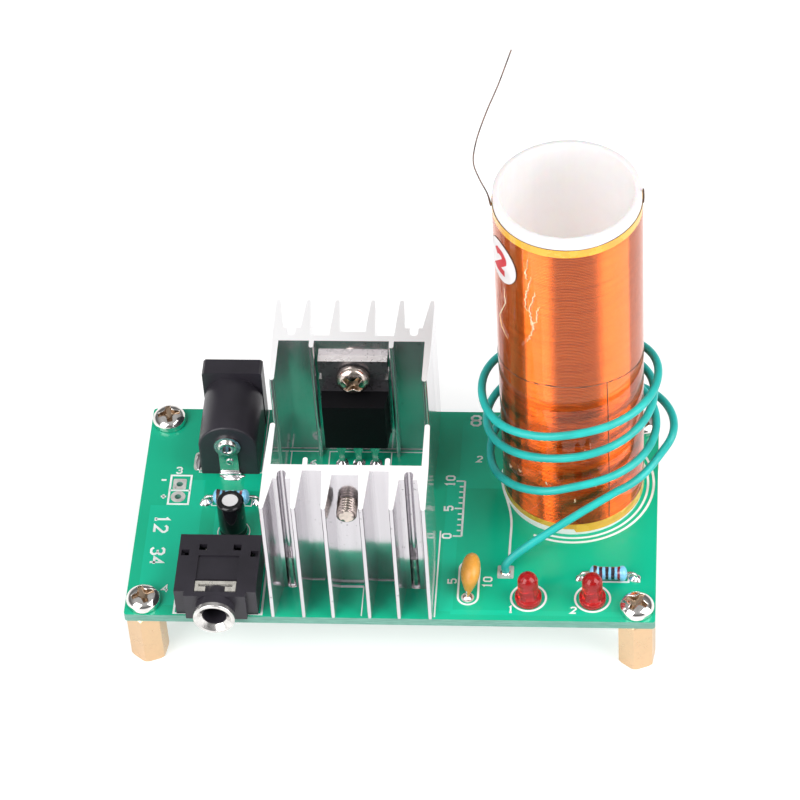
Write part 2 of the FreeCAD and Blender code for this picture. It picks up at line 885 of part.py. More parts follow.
# Low block with a narrower nose, the plug's bore, a chamber each side for a spring and a window on top.
def audio_jack_housing():
    x = audio_jack_x
    half = audio_width / 2
    nose_half = audio_nose_width / 2
    top = board_top + audio_height
    body = block((x - half, audio_face_y, board_top), (x + half, audio_rear_y, top))
    nose = block((x - nose_half, audio_nose_y, board_top), (x + nose_half, audio_face_y, top))
    axis = Vector(x, audio_nose_y - cut_overrun, board_top + audio_axis_height)
    neck = bushing_neck_radius + seat_clearance
    tools = [
        rod(axis, rearward, audio_bore_radius, audio_bore_length + cut_overrun),
        rod(axis, rearward, neck, bushing_neck_length + cut_overrun),
    ]
    window_half = audio_window_width / 2
    window_floor = top - ground_clip_drop - ground_clip_thickness
    tools.append(block((x - window_half, audio_face_y, window_floor),
                       (x + window_half, audio_face_y + audio_window_length, top + cut_overrun)))
    panel_half = audio_panel_width / 2
    panel_low = audio_rear_y - audio_panel_start - audio_panel_length
    tools.append(block((x - panel_half, panel_low, top - audio_panel_depth),
                       (x + panel_half, panel_low + audio_panel_length, top + cut_overrun)))
    for offset_share, inset_share in audio_peg_hole_shares:
        reach = audio_peg_hole / 2
        peg_x = x + audio_width * offset_share
        peg_y = audio_rear_y - audio_length * inset_share
        tools.append(block((peg_x - reach, peg_y - reach, top - audio_peg_hole_depth),
                           (peg_x + reach, peg_y + reach, top + cut_overrun)))
    chamber_rear = audio_rear_y - audio_chamber_start
    chamber_front = chamber_rear - audio_chamber_length
    for side in (-1, 1):
        inner = x + side * audio_chamber_inner
        outer = x + side * audio_chamber_outer
        tools.append(block((min(inner, outer), chamber_front, board_top - cut_overrun),
                           (max(inner, outer), chamber_rear, board_top + audio_chamber_top)))
        leg_outer = x + side * (ground_clip_width / 2 + seat_clearance)
        leg_inner = x + side * (ground_clip_width / 2 - ground_clip_thickness - seat_clearance)
        leg_low = audio_face_y + audio_window_length - ground_clip_start - seat_clearance
        tools.append(block((min(leg_inner, leg_outer), leg_low, board_top - cut_overrun),
                           (max(leg_inner, leg_outer), leg_low + ground_leg_width + 2 * seat_clearance, top)))
    return joined([body, nose]).cut(tools)


def audio_jack_bushing():
    centre = Vector(audio_jack_x, audio_nose_y, board_top + audio_axis_height)
    steps = [
        (bushing_bore_radius, bushing_neck_length),
        (bushing_neck_radius, bushing_neck_length),
        (bushing_neck_radius, 0),
        (bushing_radius, 0),
        (bushing_radius, -bushing_length),
        (bushing_bore_radius + bushing_countersink, -bushing_length),
        (bushing_bore_radius, bushing_countersink - bushing_length),
    ]
    return turned(steps, centre, rearward)


# Ground clip in the window: a bar across, two strips in front of it and a leg each side through the board.
def audio_jack_ground_clip():
    x = audio_jack_x
    half = ground_clip_width / 2
    top = board_top + audio_height - ground_clip_drop
    low = top - ground_clip_thickness
    rear = audio_face_y + audio_window_length - ground_clip_gap / 2
    bar_front = rear - ground_bar_depth
    front = bar_front - ground_clip_gap - ground_strip_depth
    right_side = [
        (0, rear),
        (half, rear),
        (half, front),
        (ground_clip_notch / 2, front),
        (ground_clip_notch / 2, front + ground_strip_depth),
        (half - ground_rail_width, front + ground_strip_depth),
        (half - ground_rail_width, bar_front),
        (0, bar_front),
    ]
    right_plate = extruded(right_side, lambda u, y: Vector(x + u, y, low), up * ground_clip_thickness)
    plate = joined([right_plate, right_plate.mirror(Vector(x, rear, low), right)])
    leg_low = audio_face_y + audio_window_length - ground_clip_start
    legs = []
    for side in (-1, 1):
        outer = x + side * half
        inner = x + side * (half - ground_clip_thickness)
        legs.append(block((min(inner, outer), leg_low, board_bottom),
                          (max(inner, outer), leg_low + ground_leg_width, top)))
    return joined([plate] + legs)


# A contact spring: a strip on edge that slants in from its root to a rounded crest in the bore, then out.
def audio_spring(side, root_y, along):
    x = audio_jack_x
    half = audio_spring_thickness / 2
    crest_y = root_y + along * audio_spring_lever
    crest_half = along * audio_spring_crest_half
    shoulder = audio_spring_crest_x + audio_spring_crest_half * audio_spring_shoulder_share
    tail_y = crest_y + along * audio_spring_tail

    def place(u, y):
        return Vector(x + side * u, y, board_top + audio_spring_low)

    steps = [
        (audio_spring_root_x - half, root_y),
        (shoulder - half, crest_y - crest_half),
        ((audio_spring_crest_x - half, crest_y), (shoulder - half, crest_y + crest_half)),
        (audio_spring_tail_x - half, tail_y),
        (audio_spring_tail_x + half, tail_y),
        (shoulder + half, crest_y + crest_half),
        ((audio_spring_crest_x + half, crest_y), (shoulder + half, crest_y - crest_half)),
        (audio_spring_root_x + half, root_y),
    ]
    return extruded(steps, place, up * (audio_spring_high - audio_spring_low))


def audio_jack_tip_spring():
    return audio_spring(-1, audio_tip_root_y, 1)


def audio_jack_ring_spring():
    return audio_spring(1, audio_ring_root_y, -1)


# Posts that the two springs are rooted in, from the chambers' outer walls down through the board.
def audio_jack_terminals():
    posts = []
    inner = audio_spring_root_x + audio_spring_thickness / 2 + spring_root_gap / 2
    reach = audio_terminal_width / 2
    for side, y in ((-1, audio_tip_root_y), (1, audio_ring_root_y)):
        near = audio_jack_x + side * inner
        far = audio_jack_x + side * audio_chamber_outer
        posts.append(block((min(near, far), y - reach, board_bottom),
                           (max(near, far), y + reach, board_top + audio_spring_high)))
    return Part.makeCompound(posts)


def resistor_body(x, y):
    half = resistor_length / 2
    cap = half - resistor_cap_length
    waist = cap - resistor_slope_length
    bulge = half - resistor_crown
    shoulder = half - resistor_crown * resistor_crown_along_share
    shoulder_radius = lead_radius + (resistor_end_radius - lead_radius) * resistor_crown_out_share
    steps = [
        (0, -half),
        (lead_radius, -half),
        ((shoulder_radius, -shoulder), (resistor_end_radius, -bulge)),
        (resistor_end_radius, -cap),
        (resistor_waist_radius, -waist),
        (resistor_waist_radius, waist),
        (resistor_end_radius, cap),
        (resistor_end_radius, bulge),
        ((shoulder_radius, shoulder), (lead_radius, half)),
        (0, half),
    ]
    return turned(steps, Vector(x, y, board_top + resistor_axis_height), right, up)


def resistor_leads():
    axis = board_top + resistor_axis_height
    leads = []
    for x, y in ((left_resistor_x, left_resistor_y), (right_resistor_x, right_resistor_y)):
        for side in (-1, 1):
            foot_x = x + side * resistor_pitch / 2
            points = [
                Vector(foot_x, y, board_bottom),
                Vector(foot_x, y, axis),
                Vector(x + side * resistor_length / 2, y, axis),
            ]
            edges = rounded_path(points, lambda before, after: resistor_lead_bend)
            leads.append(wire_along(edges, lead_radius))
    return Part.makeCompound(leads)


def electrolytic_sleeve():
    outer = electrolytic_radius
    inner = outer - electrolytic_sleeve_wall
    groove = electrolytic_groove_height
    groove_top = groove + electrolytic_groove_half
    groove_foot = groove - electrolytic_groove_half
    steps = [
        (inner, 0),
        (outer, 0),
        (outer, groove_foot),
        ((outer - electrolytic_groove_depth, groove), (outer, groove_top)),
        (outer, electrolytic_height),
        (inner - electrolytic_lip, electrolytic_height),
        (inner - electrolytic_lip, electrolytic_height - electrolytic_sleeve_wall),
        (inner, electrolytic_height - electrolytic_sleeve_wall),
        (inner, groove_top),
        ((inner - electrolytic_groove_depth, groove), (inner, groove_foot)),
    ]
    return turned(steps, Vector(electrolytic_x, electrolytic_y, board_top))


def electrolytic_can():
    outer = electrolytic_radius - electrolytic_sleeve_wall - seat_clearance
    inner = bung_radius + seat_clearance
    top = electrolytic_height - electrolytic_sleeve_wall - seat_clearance
    groove = electrolytic_groove_height
    steps = [
        (0, bung_height + seat_clearance),
        (inner, bung_height + seat_clearance),
        (inner, 0),
        (outer, 0),
        (outer, groove - electrolytic_groove_half),
        ((outer - electrolytic_groove_depth, groove), (outer, groove + electrolytic_groove_half)),
        (outer, top),
        (0, top),
    ]
    return turned(steps, Vector(electrolytic_x, electrolytic_y, board_top))


def electrolytic_bung():
    places = pair_along_x(electrolytic_x, electrolytic_y, electrolytic_pitch)
    bung = rod(Vector(electrolytic_x, electrolytic_y, board_top), up, bung_radius, bung_height)
    depth = bung_height - bung_wall + cut_overrun
    holes = [rod(Vector(x, y, board_top - cut_overrun), up, lead_radius, depth) for x, y in places]
    return bung.cut(holes)


def electrolytic_leads():
    length = board_thickness + bung_height - bung_wall
    return upright_rods(pair_along_x(electrolytic_x, electrolytic_y, electrolytic_pitch), lead_radius, length)


# Dipped body: an elliptic disc on edge, with the coating run a little way down each lead.
def drop_capacitor_body():
    centre = Vector(drop_x, drop_y, board_top + drop_centre_height)
    disc = Part.makeSphere(1, centre)
    stretch = FreeCAD.Matrix()
    stretch.move(-centre)
    stretch.scale(drop_half_thickness, drop_half_width, drop_half_height)
    stretch.move(centre)
    disc = disc.transformGeometry(stretch)
    disc.rotate(Vector(drop_x, drop_y, board_top), rearward, drop_lean_degrees)
    lean = math.tan(math.radians(drop_lean_degrees))
    skirts = []
    for x, y in pair_along_y(drop_x, drop_y, drop_pitch):
        inward = 1 if y < drop_y else -1
        foot = Vector(x, y, board_top + drop_centre_height - drop_half_height)
        heading = Vector(lean, inward, drop_skirt_steepness_share).normalize()
        skirts.append(Part.makeCone(lead_radius, drop_skirt_radius, drop_skirt_height, foot, heading))
    return joined([disc] + skirts)


def drop_capacitor_leads():
    length = board_thickness + drop_centre_height - drop_half_height
    return upright_rods(pair_along_y(drop_x, drop_y, drop_pitch), lead_radius, length)


def indicator_lens(x):
    flange_top = lamp_base_height + lamp_flange_thickness
    spring_line = lamp_top_height - lamp_radius
    diagonal = lamp_radius * math.sqrt(0.5)
    steps = [
        (0, lamp_base_height),
        (lamp_flange_radius, lamp_base_height),
        (lamp_flange_radius, flange_top),
        (lamp_radius, flange_top),
        (lamp_radius, spring_line),
        ((diagonal, spring_line + diagonal), (0, lamp_top_height)),
    ]
    return turned(steps, Vector(x, lamp_y, board_top))


def indicator_leads():
    return upright_rods(lamp_places(), lead_radius, board_thickness + lamp_base_height)


def ring(inner, outer, low, high):
    steps = [(inner, low), (outer, low), (outer, high), (inner, high)]
    return turned(steps, Vector(coil_x, coil_y, 0))


def secondary_former():
    return ring(former_radius - former_wall, former_radius, board_top, board_top + former_height)


def secondary_winding():
    return ring(former_radius + winding_clearance, winding_radius, winding_bottom, winding_top)


def lower_tape_band():
    low = board_top + bottom_bare_height
    return ring(former_radius + winding_clearance, tape_radius, low, winding_bottom)


def upper_tape_band():
    return ring(former_radius + winding_clearance, tape_radius, winding_top, winding_top + top_tape_height)


def secondary_top_wire():
    start_x = coil_x - tape_radius - fine_wire_radius - seat_clearance
    points = []
    for outward_share, rise_share in top_wire_route_shares:
        x = start_x - top_wire_rise * outward_share
        points.append(Vector(x, coil_y, winding_top + top_wire_rise * rise_share))
    return wire_along(rounded_path(points, even_bends), fine_wire_radius)


# Foot of the secondary: out from under the last turn, and down through the board behind the coil.
def secondary_foot_wire():
    bearing = math.radians(foot_wire_bearing_degrees)
    outward = Vector(math.cos(bearing), math.sin(bearing), 0)
    axis = Vector(coil_x, coil_y, board_top + bottom_bare_height / 2)
    x, y = foot_wire_place()
    points = [
        axis + outward * (former_radius + seat_clearance),
        Vector(x, y, axis.z),
        Vector(x, y, board_bottom),
    ]
    return wire_along(rounded_path(points, even_bends), fine_wire_radius)


# Round label on the coil: the part of a thin ring that a radial cylinder cuts out.
def round_label():
    bearing = math.radians(label_bearing_degrees)
    outward = Vector(math.cos(bearing), math.sin(bearing), 0)
    inner = winding_radius + seat_clearance
    middle = board_top + label_height
    half_height = label_radius + cut_overrun
    shell = ring(inner, inner + label_thickness, middle - half_height, middle + half_height)
    cutter = rod(Vector(coil_x, coil_y, middle), outward, label_radius, inner + cut_overrun)
    return shell.common(cutter)


# Arc from a point along a heading to another point.
def arc_edge(start, heading, end):
    chord = end - start
    sideways = chord - heading * heading.dot(chord)
    if sideways.Length < chord.Length * straight_share:
        return Part.LineSegment(start, end).toShape()
    sideways.normalize()
    radius = chord.dot(chord) / (2 * chord.dot(sideways))
    centre = start + sideways * radius
    middle = centre + (start + chord / 2 - centre).normalize() * radius
    return Part.Arc(start, middle, end).toShape()


# Two arcs that leave one point along its heading and reach the next along its own, meeting with one tangent.
def biarc(start, start_heading, end, end_heading):
    span = end - start
    both = start_heading + end_heading
    spread = 2 * (1 - start_heading.dot(end_heading))
    along = span.dot(both)
    reach = (math.sqrt(along * along + spread * span.dot(span)) - along) / spread
    meeting = (start + end + (start_heading - end_heading) * reach) / 2
    first = arc_edge(start, start_heading, meeting)
    meeting_heading = (meeting - start - start_heading * reach).normalize()
    return [first, arc_edge(meeting, meeting_heading, end)]


# A place on the primary, by its shares of a turn round the coil, of the tube's radius and of the height.
def primary_station(turn_share, reach_share, height_share):
    bearing = math.radians(full_turn * turn_share)
    out = former_radius * reach_share
    return Vector(coil_x + out * math.cos(bearing), coil_y + out * math.sin(bearing),
                  board_top + primary_top_height * height_share)


# The heading at a station is that of the circle through it and the stations beside it.
def primary_path():
    rise = up * (2 * primary_wire_radius)
    start = Vector(primary_start_x, primary_start_y, board_top + primary_stand_off)
    end = Vector(primary_end_x, primary_end_y, board_top + primary_stand_off)
    round_coil = [primary_station(*shares) for shares in primary_station_shares]
    across = Vector(round_coil[0].x - start.x, round_coil[0].y - start.y, 0).normalize()
    climb = start + rise + across * primary_climb_run + up * primary_climb_rise
    stations = [start + rise, climb] + round_coil + [end + rise]
    headings = [up, (round_coil[0] - climb).normalize()]
    for before, here, after in zip(stations[1:], stations[2:], stations[3:]):
        arriving = here - before
        leaving = after - here
        headings.append((arriving / arriving.dot(arriving) + leaving / leaving.dot(leaving)).normalize())
    headings.append(up * -1)
    edges = [Part.LineSegment(start, stations[0]).toShape()]
    for index in range(len(stations) - 1):
        edges += biarc(stations[index], headings[index], stations[index + 1], headings[index + 1])
    edges.append(Part.LineSegment(stations[-1], end).toShape())
    return edges


# Least clear distance between stretches of the winding that are at least half a turn apart along it.
def least_gap(edges):
    points = []
    travelled = []
    length = 0
    for edge in edges:
        for point in edge.discretize(least_gap_samples):
            if points:
                length += point.distanceToPoint(points[-1])
            points.append(point)
            travelled.append(length)
    apart = math.pi * former_radius
    nearest = length
    for i, point in enumerate(points):
        for j in range(i + 1, len(points)):
            if travelled[j] - travelled[i] > apart:
                nearest = min(nearest, point.distanceToPoint(points[j]))
    return nearest - 2 * primary_wire_radius


def primary_winding():
    edges = primary_path()
    radii = [edge.Curve.Radius for edge in edges if hasattr(edge.Curve, "Radius")]
    tube = wire_along(edges, primary_wire_radius)
    expected = math.pi * primary_wire_radius ** 2 * sum(edge.Length for edge in edges)
    print("primary least gap to itself", round(least_gap(edges), 2), "tightest bend", round(min(radii), 2))
    print("primary volume share of section times length", round(tube.Volume / expected, 4))
    return tube


def primary_bare_ends():
    return upright_rods(primary_places(), primary_core_radius, board_thickness + primary_stand_off)


def nodes():
    front, rear = sinks()
    return {
        "circuit_board": circuit_board(),
        "board_posts": board_posts(),
        "board_screws": board_screws(),
        "solder_joints": solder_joints(),
        "power_jack_housing": power_jack_housing(),
        "power_jack_pin": power_jack_pin(),
        "power_jack_rear_terminal": power_jack_rear_terminal(),
        "power_jack_sleeve_terminal": power_jack_sleeve_terminal(),
        "power_jack_sleeve_spring": power_jack_sleeve_spring(),
        "audio_jack_housing": audio_jack_housing(),
        "audio_jack_bushing": audio_jack_bushing(),
        "audio_jack_ground_clip": audio_jack_ground_clip(),
        "audio_jack_tip_spring": audio_jack_tip_spring(),
        "audio_jack_ring_spring": audio_jack_ring_spring(),
        "audio_jack_terminals": audio_jack_terminals(),
        "front_heat_sink": heat_sink(*front),
        "rear_heat_sink": heat_sink(*rear),
        "heat_sink_pins": heat_sink_pins(),
        "front_transistor_tab": transistor_tab(*front),
        "front_transistor_body": transistor_body(*front),
        "rear_transistor_tab": transistor_tab(*rear),
        "rear_transistor_body": transistor_body(*rear),
        "transistor_leads": transistor_leads(),
        "transistor_screws": transistor_screws(),
        "left_resistor_body": resistor_body(left_resistor_x, left_resistor_y),
        "right_resistor_body": resistor_body(right_resistor_x, right_resistor_y),
        "resistor_leads": resistor_leads(),
        "electrolytic_sleeve": electrolytic_sleeve(),
        "electrolytic_can": electrolytic_can(),
        "electrolytic_bung": electrolytic_bung(),
        "electrolytic_leads": electrolytic_leads(),
        "drop_capacitor_body": drop_capacitor_body(),
        "drop_capacitor_leads": drop_capacitor_leads(),
        "left_indicator_lens": indicator_lens(left_lamp_x),
        "right_indicator_lens": indicator_lens(right_lamp_x),
        "indicator_leads": indicator_leads(),
        "secondary_former": secondary_former(),
        "secondary_winding": secondary_winding(),
        "upper_tape_band": upper_tape_band(),
        "lower_tape_band": lower_tape_band(),
        "secondary_top_wire": secondary_top_wire(),
        "secondary_foot_wire": secondary_foot_wire(),
        "primary_winding": primary_winding(),
        "primary_bare_ends": primary_bare_ends(),
        "round_label": round_label(),
    }


os.makedirs("parts", exist_ok=True)
for name, shape in nodes().items():
    shape.exportStep(os.path.join("parts", name + ".step"))
    print(name, "solids", len(shape.Solids), "valid", shape.isValid(), "volume", round(shape.Volume, 3))
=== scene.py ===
import math
import bmesh
import bpy
import numpy as np
from mathutils import Matrix, Vector


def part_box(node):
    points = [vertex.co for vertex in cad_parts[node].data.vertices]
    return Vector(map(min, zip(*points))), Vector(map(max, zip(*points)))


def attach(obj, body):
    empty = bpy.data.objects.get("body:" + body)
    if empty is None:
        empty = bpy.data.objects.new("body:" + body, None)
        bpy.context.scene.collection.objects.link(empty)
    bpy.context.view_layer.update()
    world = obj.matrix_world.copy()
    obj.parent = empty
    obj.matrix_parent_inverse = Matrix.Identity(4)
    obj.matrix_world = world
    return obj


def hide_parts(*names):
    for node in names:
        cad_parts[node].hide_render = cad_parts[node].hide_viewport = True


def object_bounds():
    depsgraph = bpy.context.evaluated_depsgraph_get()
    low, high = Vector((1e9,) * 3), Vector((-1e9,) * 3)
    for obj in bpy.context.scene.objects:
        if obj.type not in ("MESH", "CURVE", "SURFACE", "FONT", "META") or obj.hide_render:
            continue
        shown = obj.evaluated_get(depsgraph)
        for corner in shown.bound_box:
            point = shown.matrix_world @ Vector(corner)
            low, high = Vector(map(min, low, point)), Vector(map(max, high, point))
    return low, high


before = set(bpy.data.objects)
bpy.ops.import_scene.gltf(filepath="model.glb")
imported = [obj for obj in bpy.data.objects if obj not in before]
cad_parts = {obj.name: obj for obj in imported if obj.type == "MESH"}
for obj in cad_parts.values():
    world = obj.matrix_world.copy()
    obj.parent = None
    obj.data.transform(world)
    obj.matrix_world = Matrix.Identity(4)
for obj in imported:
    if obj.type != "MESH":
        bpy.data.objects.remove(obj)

mm = 0.001
fullTurn = 2 * math.pi
cadLow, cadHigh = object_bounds()

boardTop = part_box("circuit_board")[1].z

# Points of a mesh that lie closer than this are merged, in metres.
mergeGap = 1e-7
# Where ink, pads and solder start, just inside the board, in millimetres from its top face.
sunk = -0.01


# The middle of a node's box, in millimetres, its height counted from the board's top face.
def middleOf(node):
    low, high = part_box(node)
    middle = (np.array(low) + np.array(high)) / 2
    return (middle - (0, 0, boardTop)) / mm


# Places below are in millimetres from the board's middle, heights from its top face.
# This makes them metres.
def placed(points):
    points = np.asarray(points, float)
    if points.shape[-1] == 2:
        points = np.concatenate([points, np.zeros(points.shape[:-1] + (1,))], axis=-1)
    return points * mm + np.array((0, 0, boardTop))


# Meshes

# A mesh object from grids of points, each an array (rows, columns, 3): four neighbours make a face.
# Points that meet at a seam or a pole are merged, and faces turned outwards.
def piece(name, grids, smooth=True, sharpAt=None, outwards=True):
    points, faces = [], []
    base = 0
    for grid in grids:
        rows, columns = grid.shape[:2]
        number = base + np.arange(rows * columns).reshape(rows, columns)
        quads = np.stack([number[:-1, :-1], number[:-1, 1:], number[1:, 1:], number[1:, :-1]], axis=-1)
        faces.append(quads.reshape(-1, 4))
        points.append(grid.reshape(-1, 3))
        base += rows * columns
    mesh = bpy.data.meshes.new(name)
    mesh.from_pydata(np.concatenate(points), [], np.concatenate(faces))
    tidy = bmesh.new()
    tidy.from_mesh(mesh)
    bmesh.ops.remove_doubles(tidy, verts=tidy.verts, dist=mergeGap)
    bmesh.ops.dissolve_degenerate(tidy, edges=tidy.edges, dist=mergeGap)
    if outwards:
        bmesh.ops.recalc_face_normals(tidy, faces=tidy.faces)
    tidy.to_mesh(mesh)
    tidy.free()
    if smooth:
        mesh.shade_smooth()
    if sharpAt:
        mesh.set_sharp_from_angle(angle=math.radians(sharpAt))
    thing = bpy.data.objects.new(name, mesh)
    bpy.context.scene.collection.objects.link(thing)
    return thing


# Two unit vectors square to an axis.
def squareTo(axis):
    axis = np.asarray(axis, float)
    helper = np.array([1.0, 0, 0]) if abs(axis[0]) < 0.8 * np.linalg.norm(axis) else np.array([0, 1.0, 0])
    first = np.cross(axis, helper)
    first /= np.linalg.norm(first)
    second = np.cross(axis, first)
    return first, second / np.linalg.norm(second)


# Surface of revolution: the profile's (reach, height) pairs turned about the axis through the foot.
def turnedGrid(profile, foot, axis=(0, 0, 1), columns=48):
    profile = np.asarray(profile, float)
    first, second = squareTo(axis)
    angle = np.linspace(0, fullTurn, columns + 1)
    ring = np.cos(angle)[:, None] * first + np.sin(angle)[:, None] * second
    points = (np.asarray(foot, float) + profile[:, 0, None, None] * ring[None]
              + profile[:, 1, None, None] * np.asarray(axis, float))
    return placed(points)


# An arc as (reach, height) pairs, for the rounded corners of profiles.
def roundedCorner(centre, radius, start, end, steps=8):
    angle = np.radians(np.linspace(start, end, steps))
    return [(centre[0] + radius * math.cos(a), centre[1] + radius * math.sin(a)) for a in angle]


# Points along a smooth curve through the given points: a Catmull-Rom spline, centripetal in its pace.
def smoothPath(points, steps):
    points = np.asarray(points, float)
    points = np.vstack([2 * points[0] - points[1], points, 2 * points[-1] - points[-2]])
    p0, p1, p2, p3 = points[:-3], points[1:-2], points[2:-1], points[3:]
    share = np.linspace(0, 1, steps, endpoint=False)[:, None, None]

    def gap(a, b):
        return np.sqrt(np.maximum(np.linalg.norm(b - a, axis=1), 1e-9))[:, None]

    t1 = gap(p0, p1)
    t2 = t1 + gap(p1, p2)
    t3 = t2 + gap(p2, p3)
    t = t1 + (t2 - t1) * share
    a1 = (t1 - t) / t1 * p0 + t / t1 * p1
    a2 = (t2 - t) / (t2 - t1) * p1 + (t - t1) / (t2 - t1) * p2
    a3 = (t3 - t) / (t3 - t2) * p2 + (t - t2) / (t3 - t2) * p3
    b1 = (t2 - t) / t2 * a1 + t / t2 * a2
    b2 = (t3 - t) / (t3 - t1) * a2 + (t - t1) / (t3 - t1) * a3
    curve = (t2 - t) / (t2 - t1) * b1 + (t - t1) / (t2 - t1) * b2
    return np.vstack([curve.transpose(1, 0, 2).reshape(-1, points.shape[1]), points[-2]])


# Tube along a path: at every point a ring of the radius there, in a frame carried along without twist.
def tubeGrid(path, radius, columns=16):
    path = np.asarray(path, float)
    ahead = np.gradient(path, axis=0)
    ahead /= np.linalg.norm(ahead, axis=1)[:, None]
    side = np.empty_like(path)
    side[0] = squareTo(ahead[0])[0]
    for index in range(1, len(path)):
        carried = side[index - 1] - ahead[index] * (side[index - 1] @ ahead[index])
        side[index] = carried / np.linalg.norm(carried)
    over = np.cross(ahead, side)
    angle = np.linspace(0, fullTurn, columns + 1)
    reach = np.broadcast_to(np.asarray(radius, float), (len(path),))
    grid = (path[:, None] + reach[:, None, None]
            * (np.cos(angle)[None, :, None] * side[:, None] + np.sin(angle)[None, :, None] * over[:, None]))
    tips = [np.repeat(path[end][None], columns + 1, axis=0)[None] for end in (0, -1)]
    return placed(np.concatenate([tips[0], grid, tips[1]]))


# Flat outlines, each lifted to its own height.
def atHeights(rows):
    return [np.column_stack([edge, np.full(len(edge), height)]) for edge, height in rows]


# Flat-topped line along a path in the plane: two edges offset by half the width along each corner's mitre.
def strokeGrid(path, width, bottom, top):
    path = np.asarray(path, float)
    closed = np.allclose(path[0], path[-1])
    run = np.diff(path, axis=0)
    run /= np.linalg.norm(run, axis=1)[:, None]
    before = np.vstack([run[-1:] if closed else run[:1], run])
    after = np.vstack([run, run[:1] if closed else run[-1:]])
    left = np.stack([-before[:, 1], before[:, 0]], axis=1)
    right = np.stack([-after[:, 1], after[:, 0]], axis=1)
    mitre = (left + right) / np.maximum(1 + np.sum(left * right, axis=1), 0.3)[:, None] * width / 2
    corners = [(path + mitre, bottom), (path + mitre, top), (path - mitre, top), (path - mitre, bottom),
               (path + mitre, bottom)]
    grid = np.stack(atHeights(corners), axis=1)
    if not closed:
        tips = [np.repeat(grid[end, :4].mean(axis=0)[None], 5, axis=0)[None] for end in (0, -1)]
        grid = np.concatenate([tips[0], grid, tips[1]])
    return placed(grid)


# An outline |x/a|^power + |y/b|^power = 1 about a centre: an ellipse at power 2, nearly a rectangle at 8.
def superEllipse(centre, halfX, halfY, power=2.0, count=48):
    angle = np.linspace(0, fullTurn, count + 1)
    c, s = np.cos(angle), np.sin(angle)
    return np.column_stack([centre[0] + halfX * np.sign(c) * np.abs(c) ** (2 / power),
                            centre[1] + halfY * np.sign(s) * np.abs(s) ** (2 / power)])


# A flat plate between two outlines of equal counts, the inner one the rim of its hole.
def plateGrid(outer, inner, bottom, top):
    rows = [(inner, bottom), (outer, bottom), (outer, top), (inner, top), (inner, bottom)]
    return placed(np.stack(atHeights(rows)))


# A solder mound: its height falls from the lead to the rim as (1 - share) to a power, concave over 1.
def moundGrid(centre, halfX, halfY, height, power, lumps, bottom=0.0):
    share = np.linspace(1, 0, 12)[:, None]
    angle = np.linspace(0, fullTurn, 41)[None, :]
    wide = lumps * np.sin(3 * angle + centre[0])
    narrow = 0.6 * lumps * np.sin(5 * angle + centre[1])
    reach = share * (1 + wide + narrow)
    x = centre[0] + halfX * reach * np.cos(angle)
    y = centre[1] + halfY * reach * np.sin(angle)
    z = bottom + height * (1 - share) ** power * (1 + lumps * np.cos(2 * angle) * share)
    top = np.stack([x, y, np.broadcast_to(z, x.shape)], axis=-1)
    foot = top[:1] * (1, 1, 0) + (0, 0, bottom + sunk)
    middle = foot * 0 + (centre[0], centre[1], bottom + sunk)
    return placed(np.concatenate([middle, foot, top]))


# Shader maths

# A socket on which sums and comparisons add Math nodes.
class Signal:
    def __init__(self, finish, socket):
        self.finish = finish
        self.socket = socket

    def math(self, operation, *values):
        inputs = dict(enumerate(values))
        return self.finish.node("Math", {"operation": operation}, inputs)

    def __add__(self, other):
        return self.math("ADD", self, other)

    def __sub__(self, other):
        return self.math("SUBTRACT", self, other)

    def __rsub__(self, other):
        return self.math("SUBTRACT", other, self)

    def __mul__(self, other):
        return self.math("MULTIPLY", self, other)

    def __truediv__(self, other):
        return self.math("DIVIDE", self, other)

    def __gt__(self, other):
        return self.math("GREATER_THAN", self, other)

    def __lt__(self, other):
        return self.math("LESS_THAN", self, other)

    def absolute(self):
        return self.math("ABSOLUTE", self)


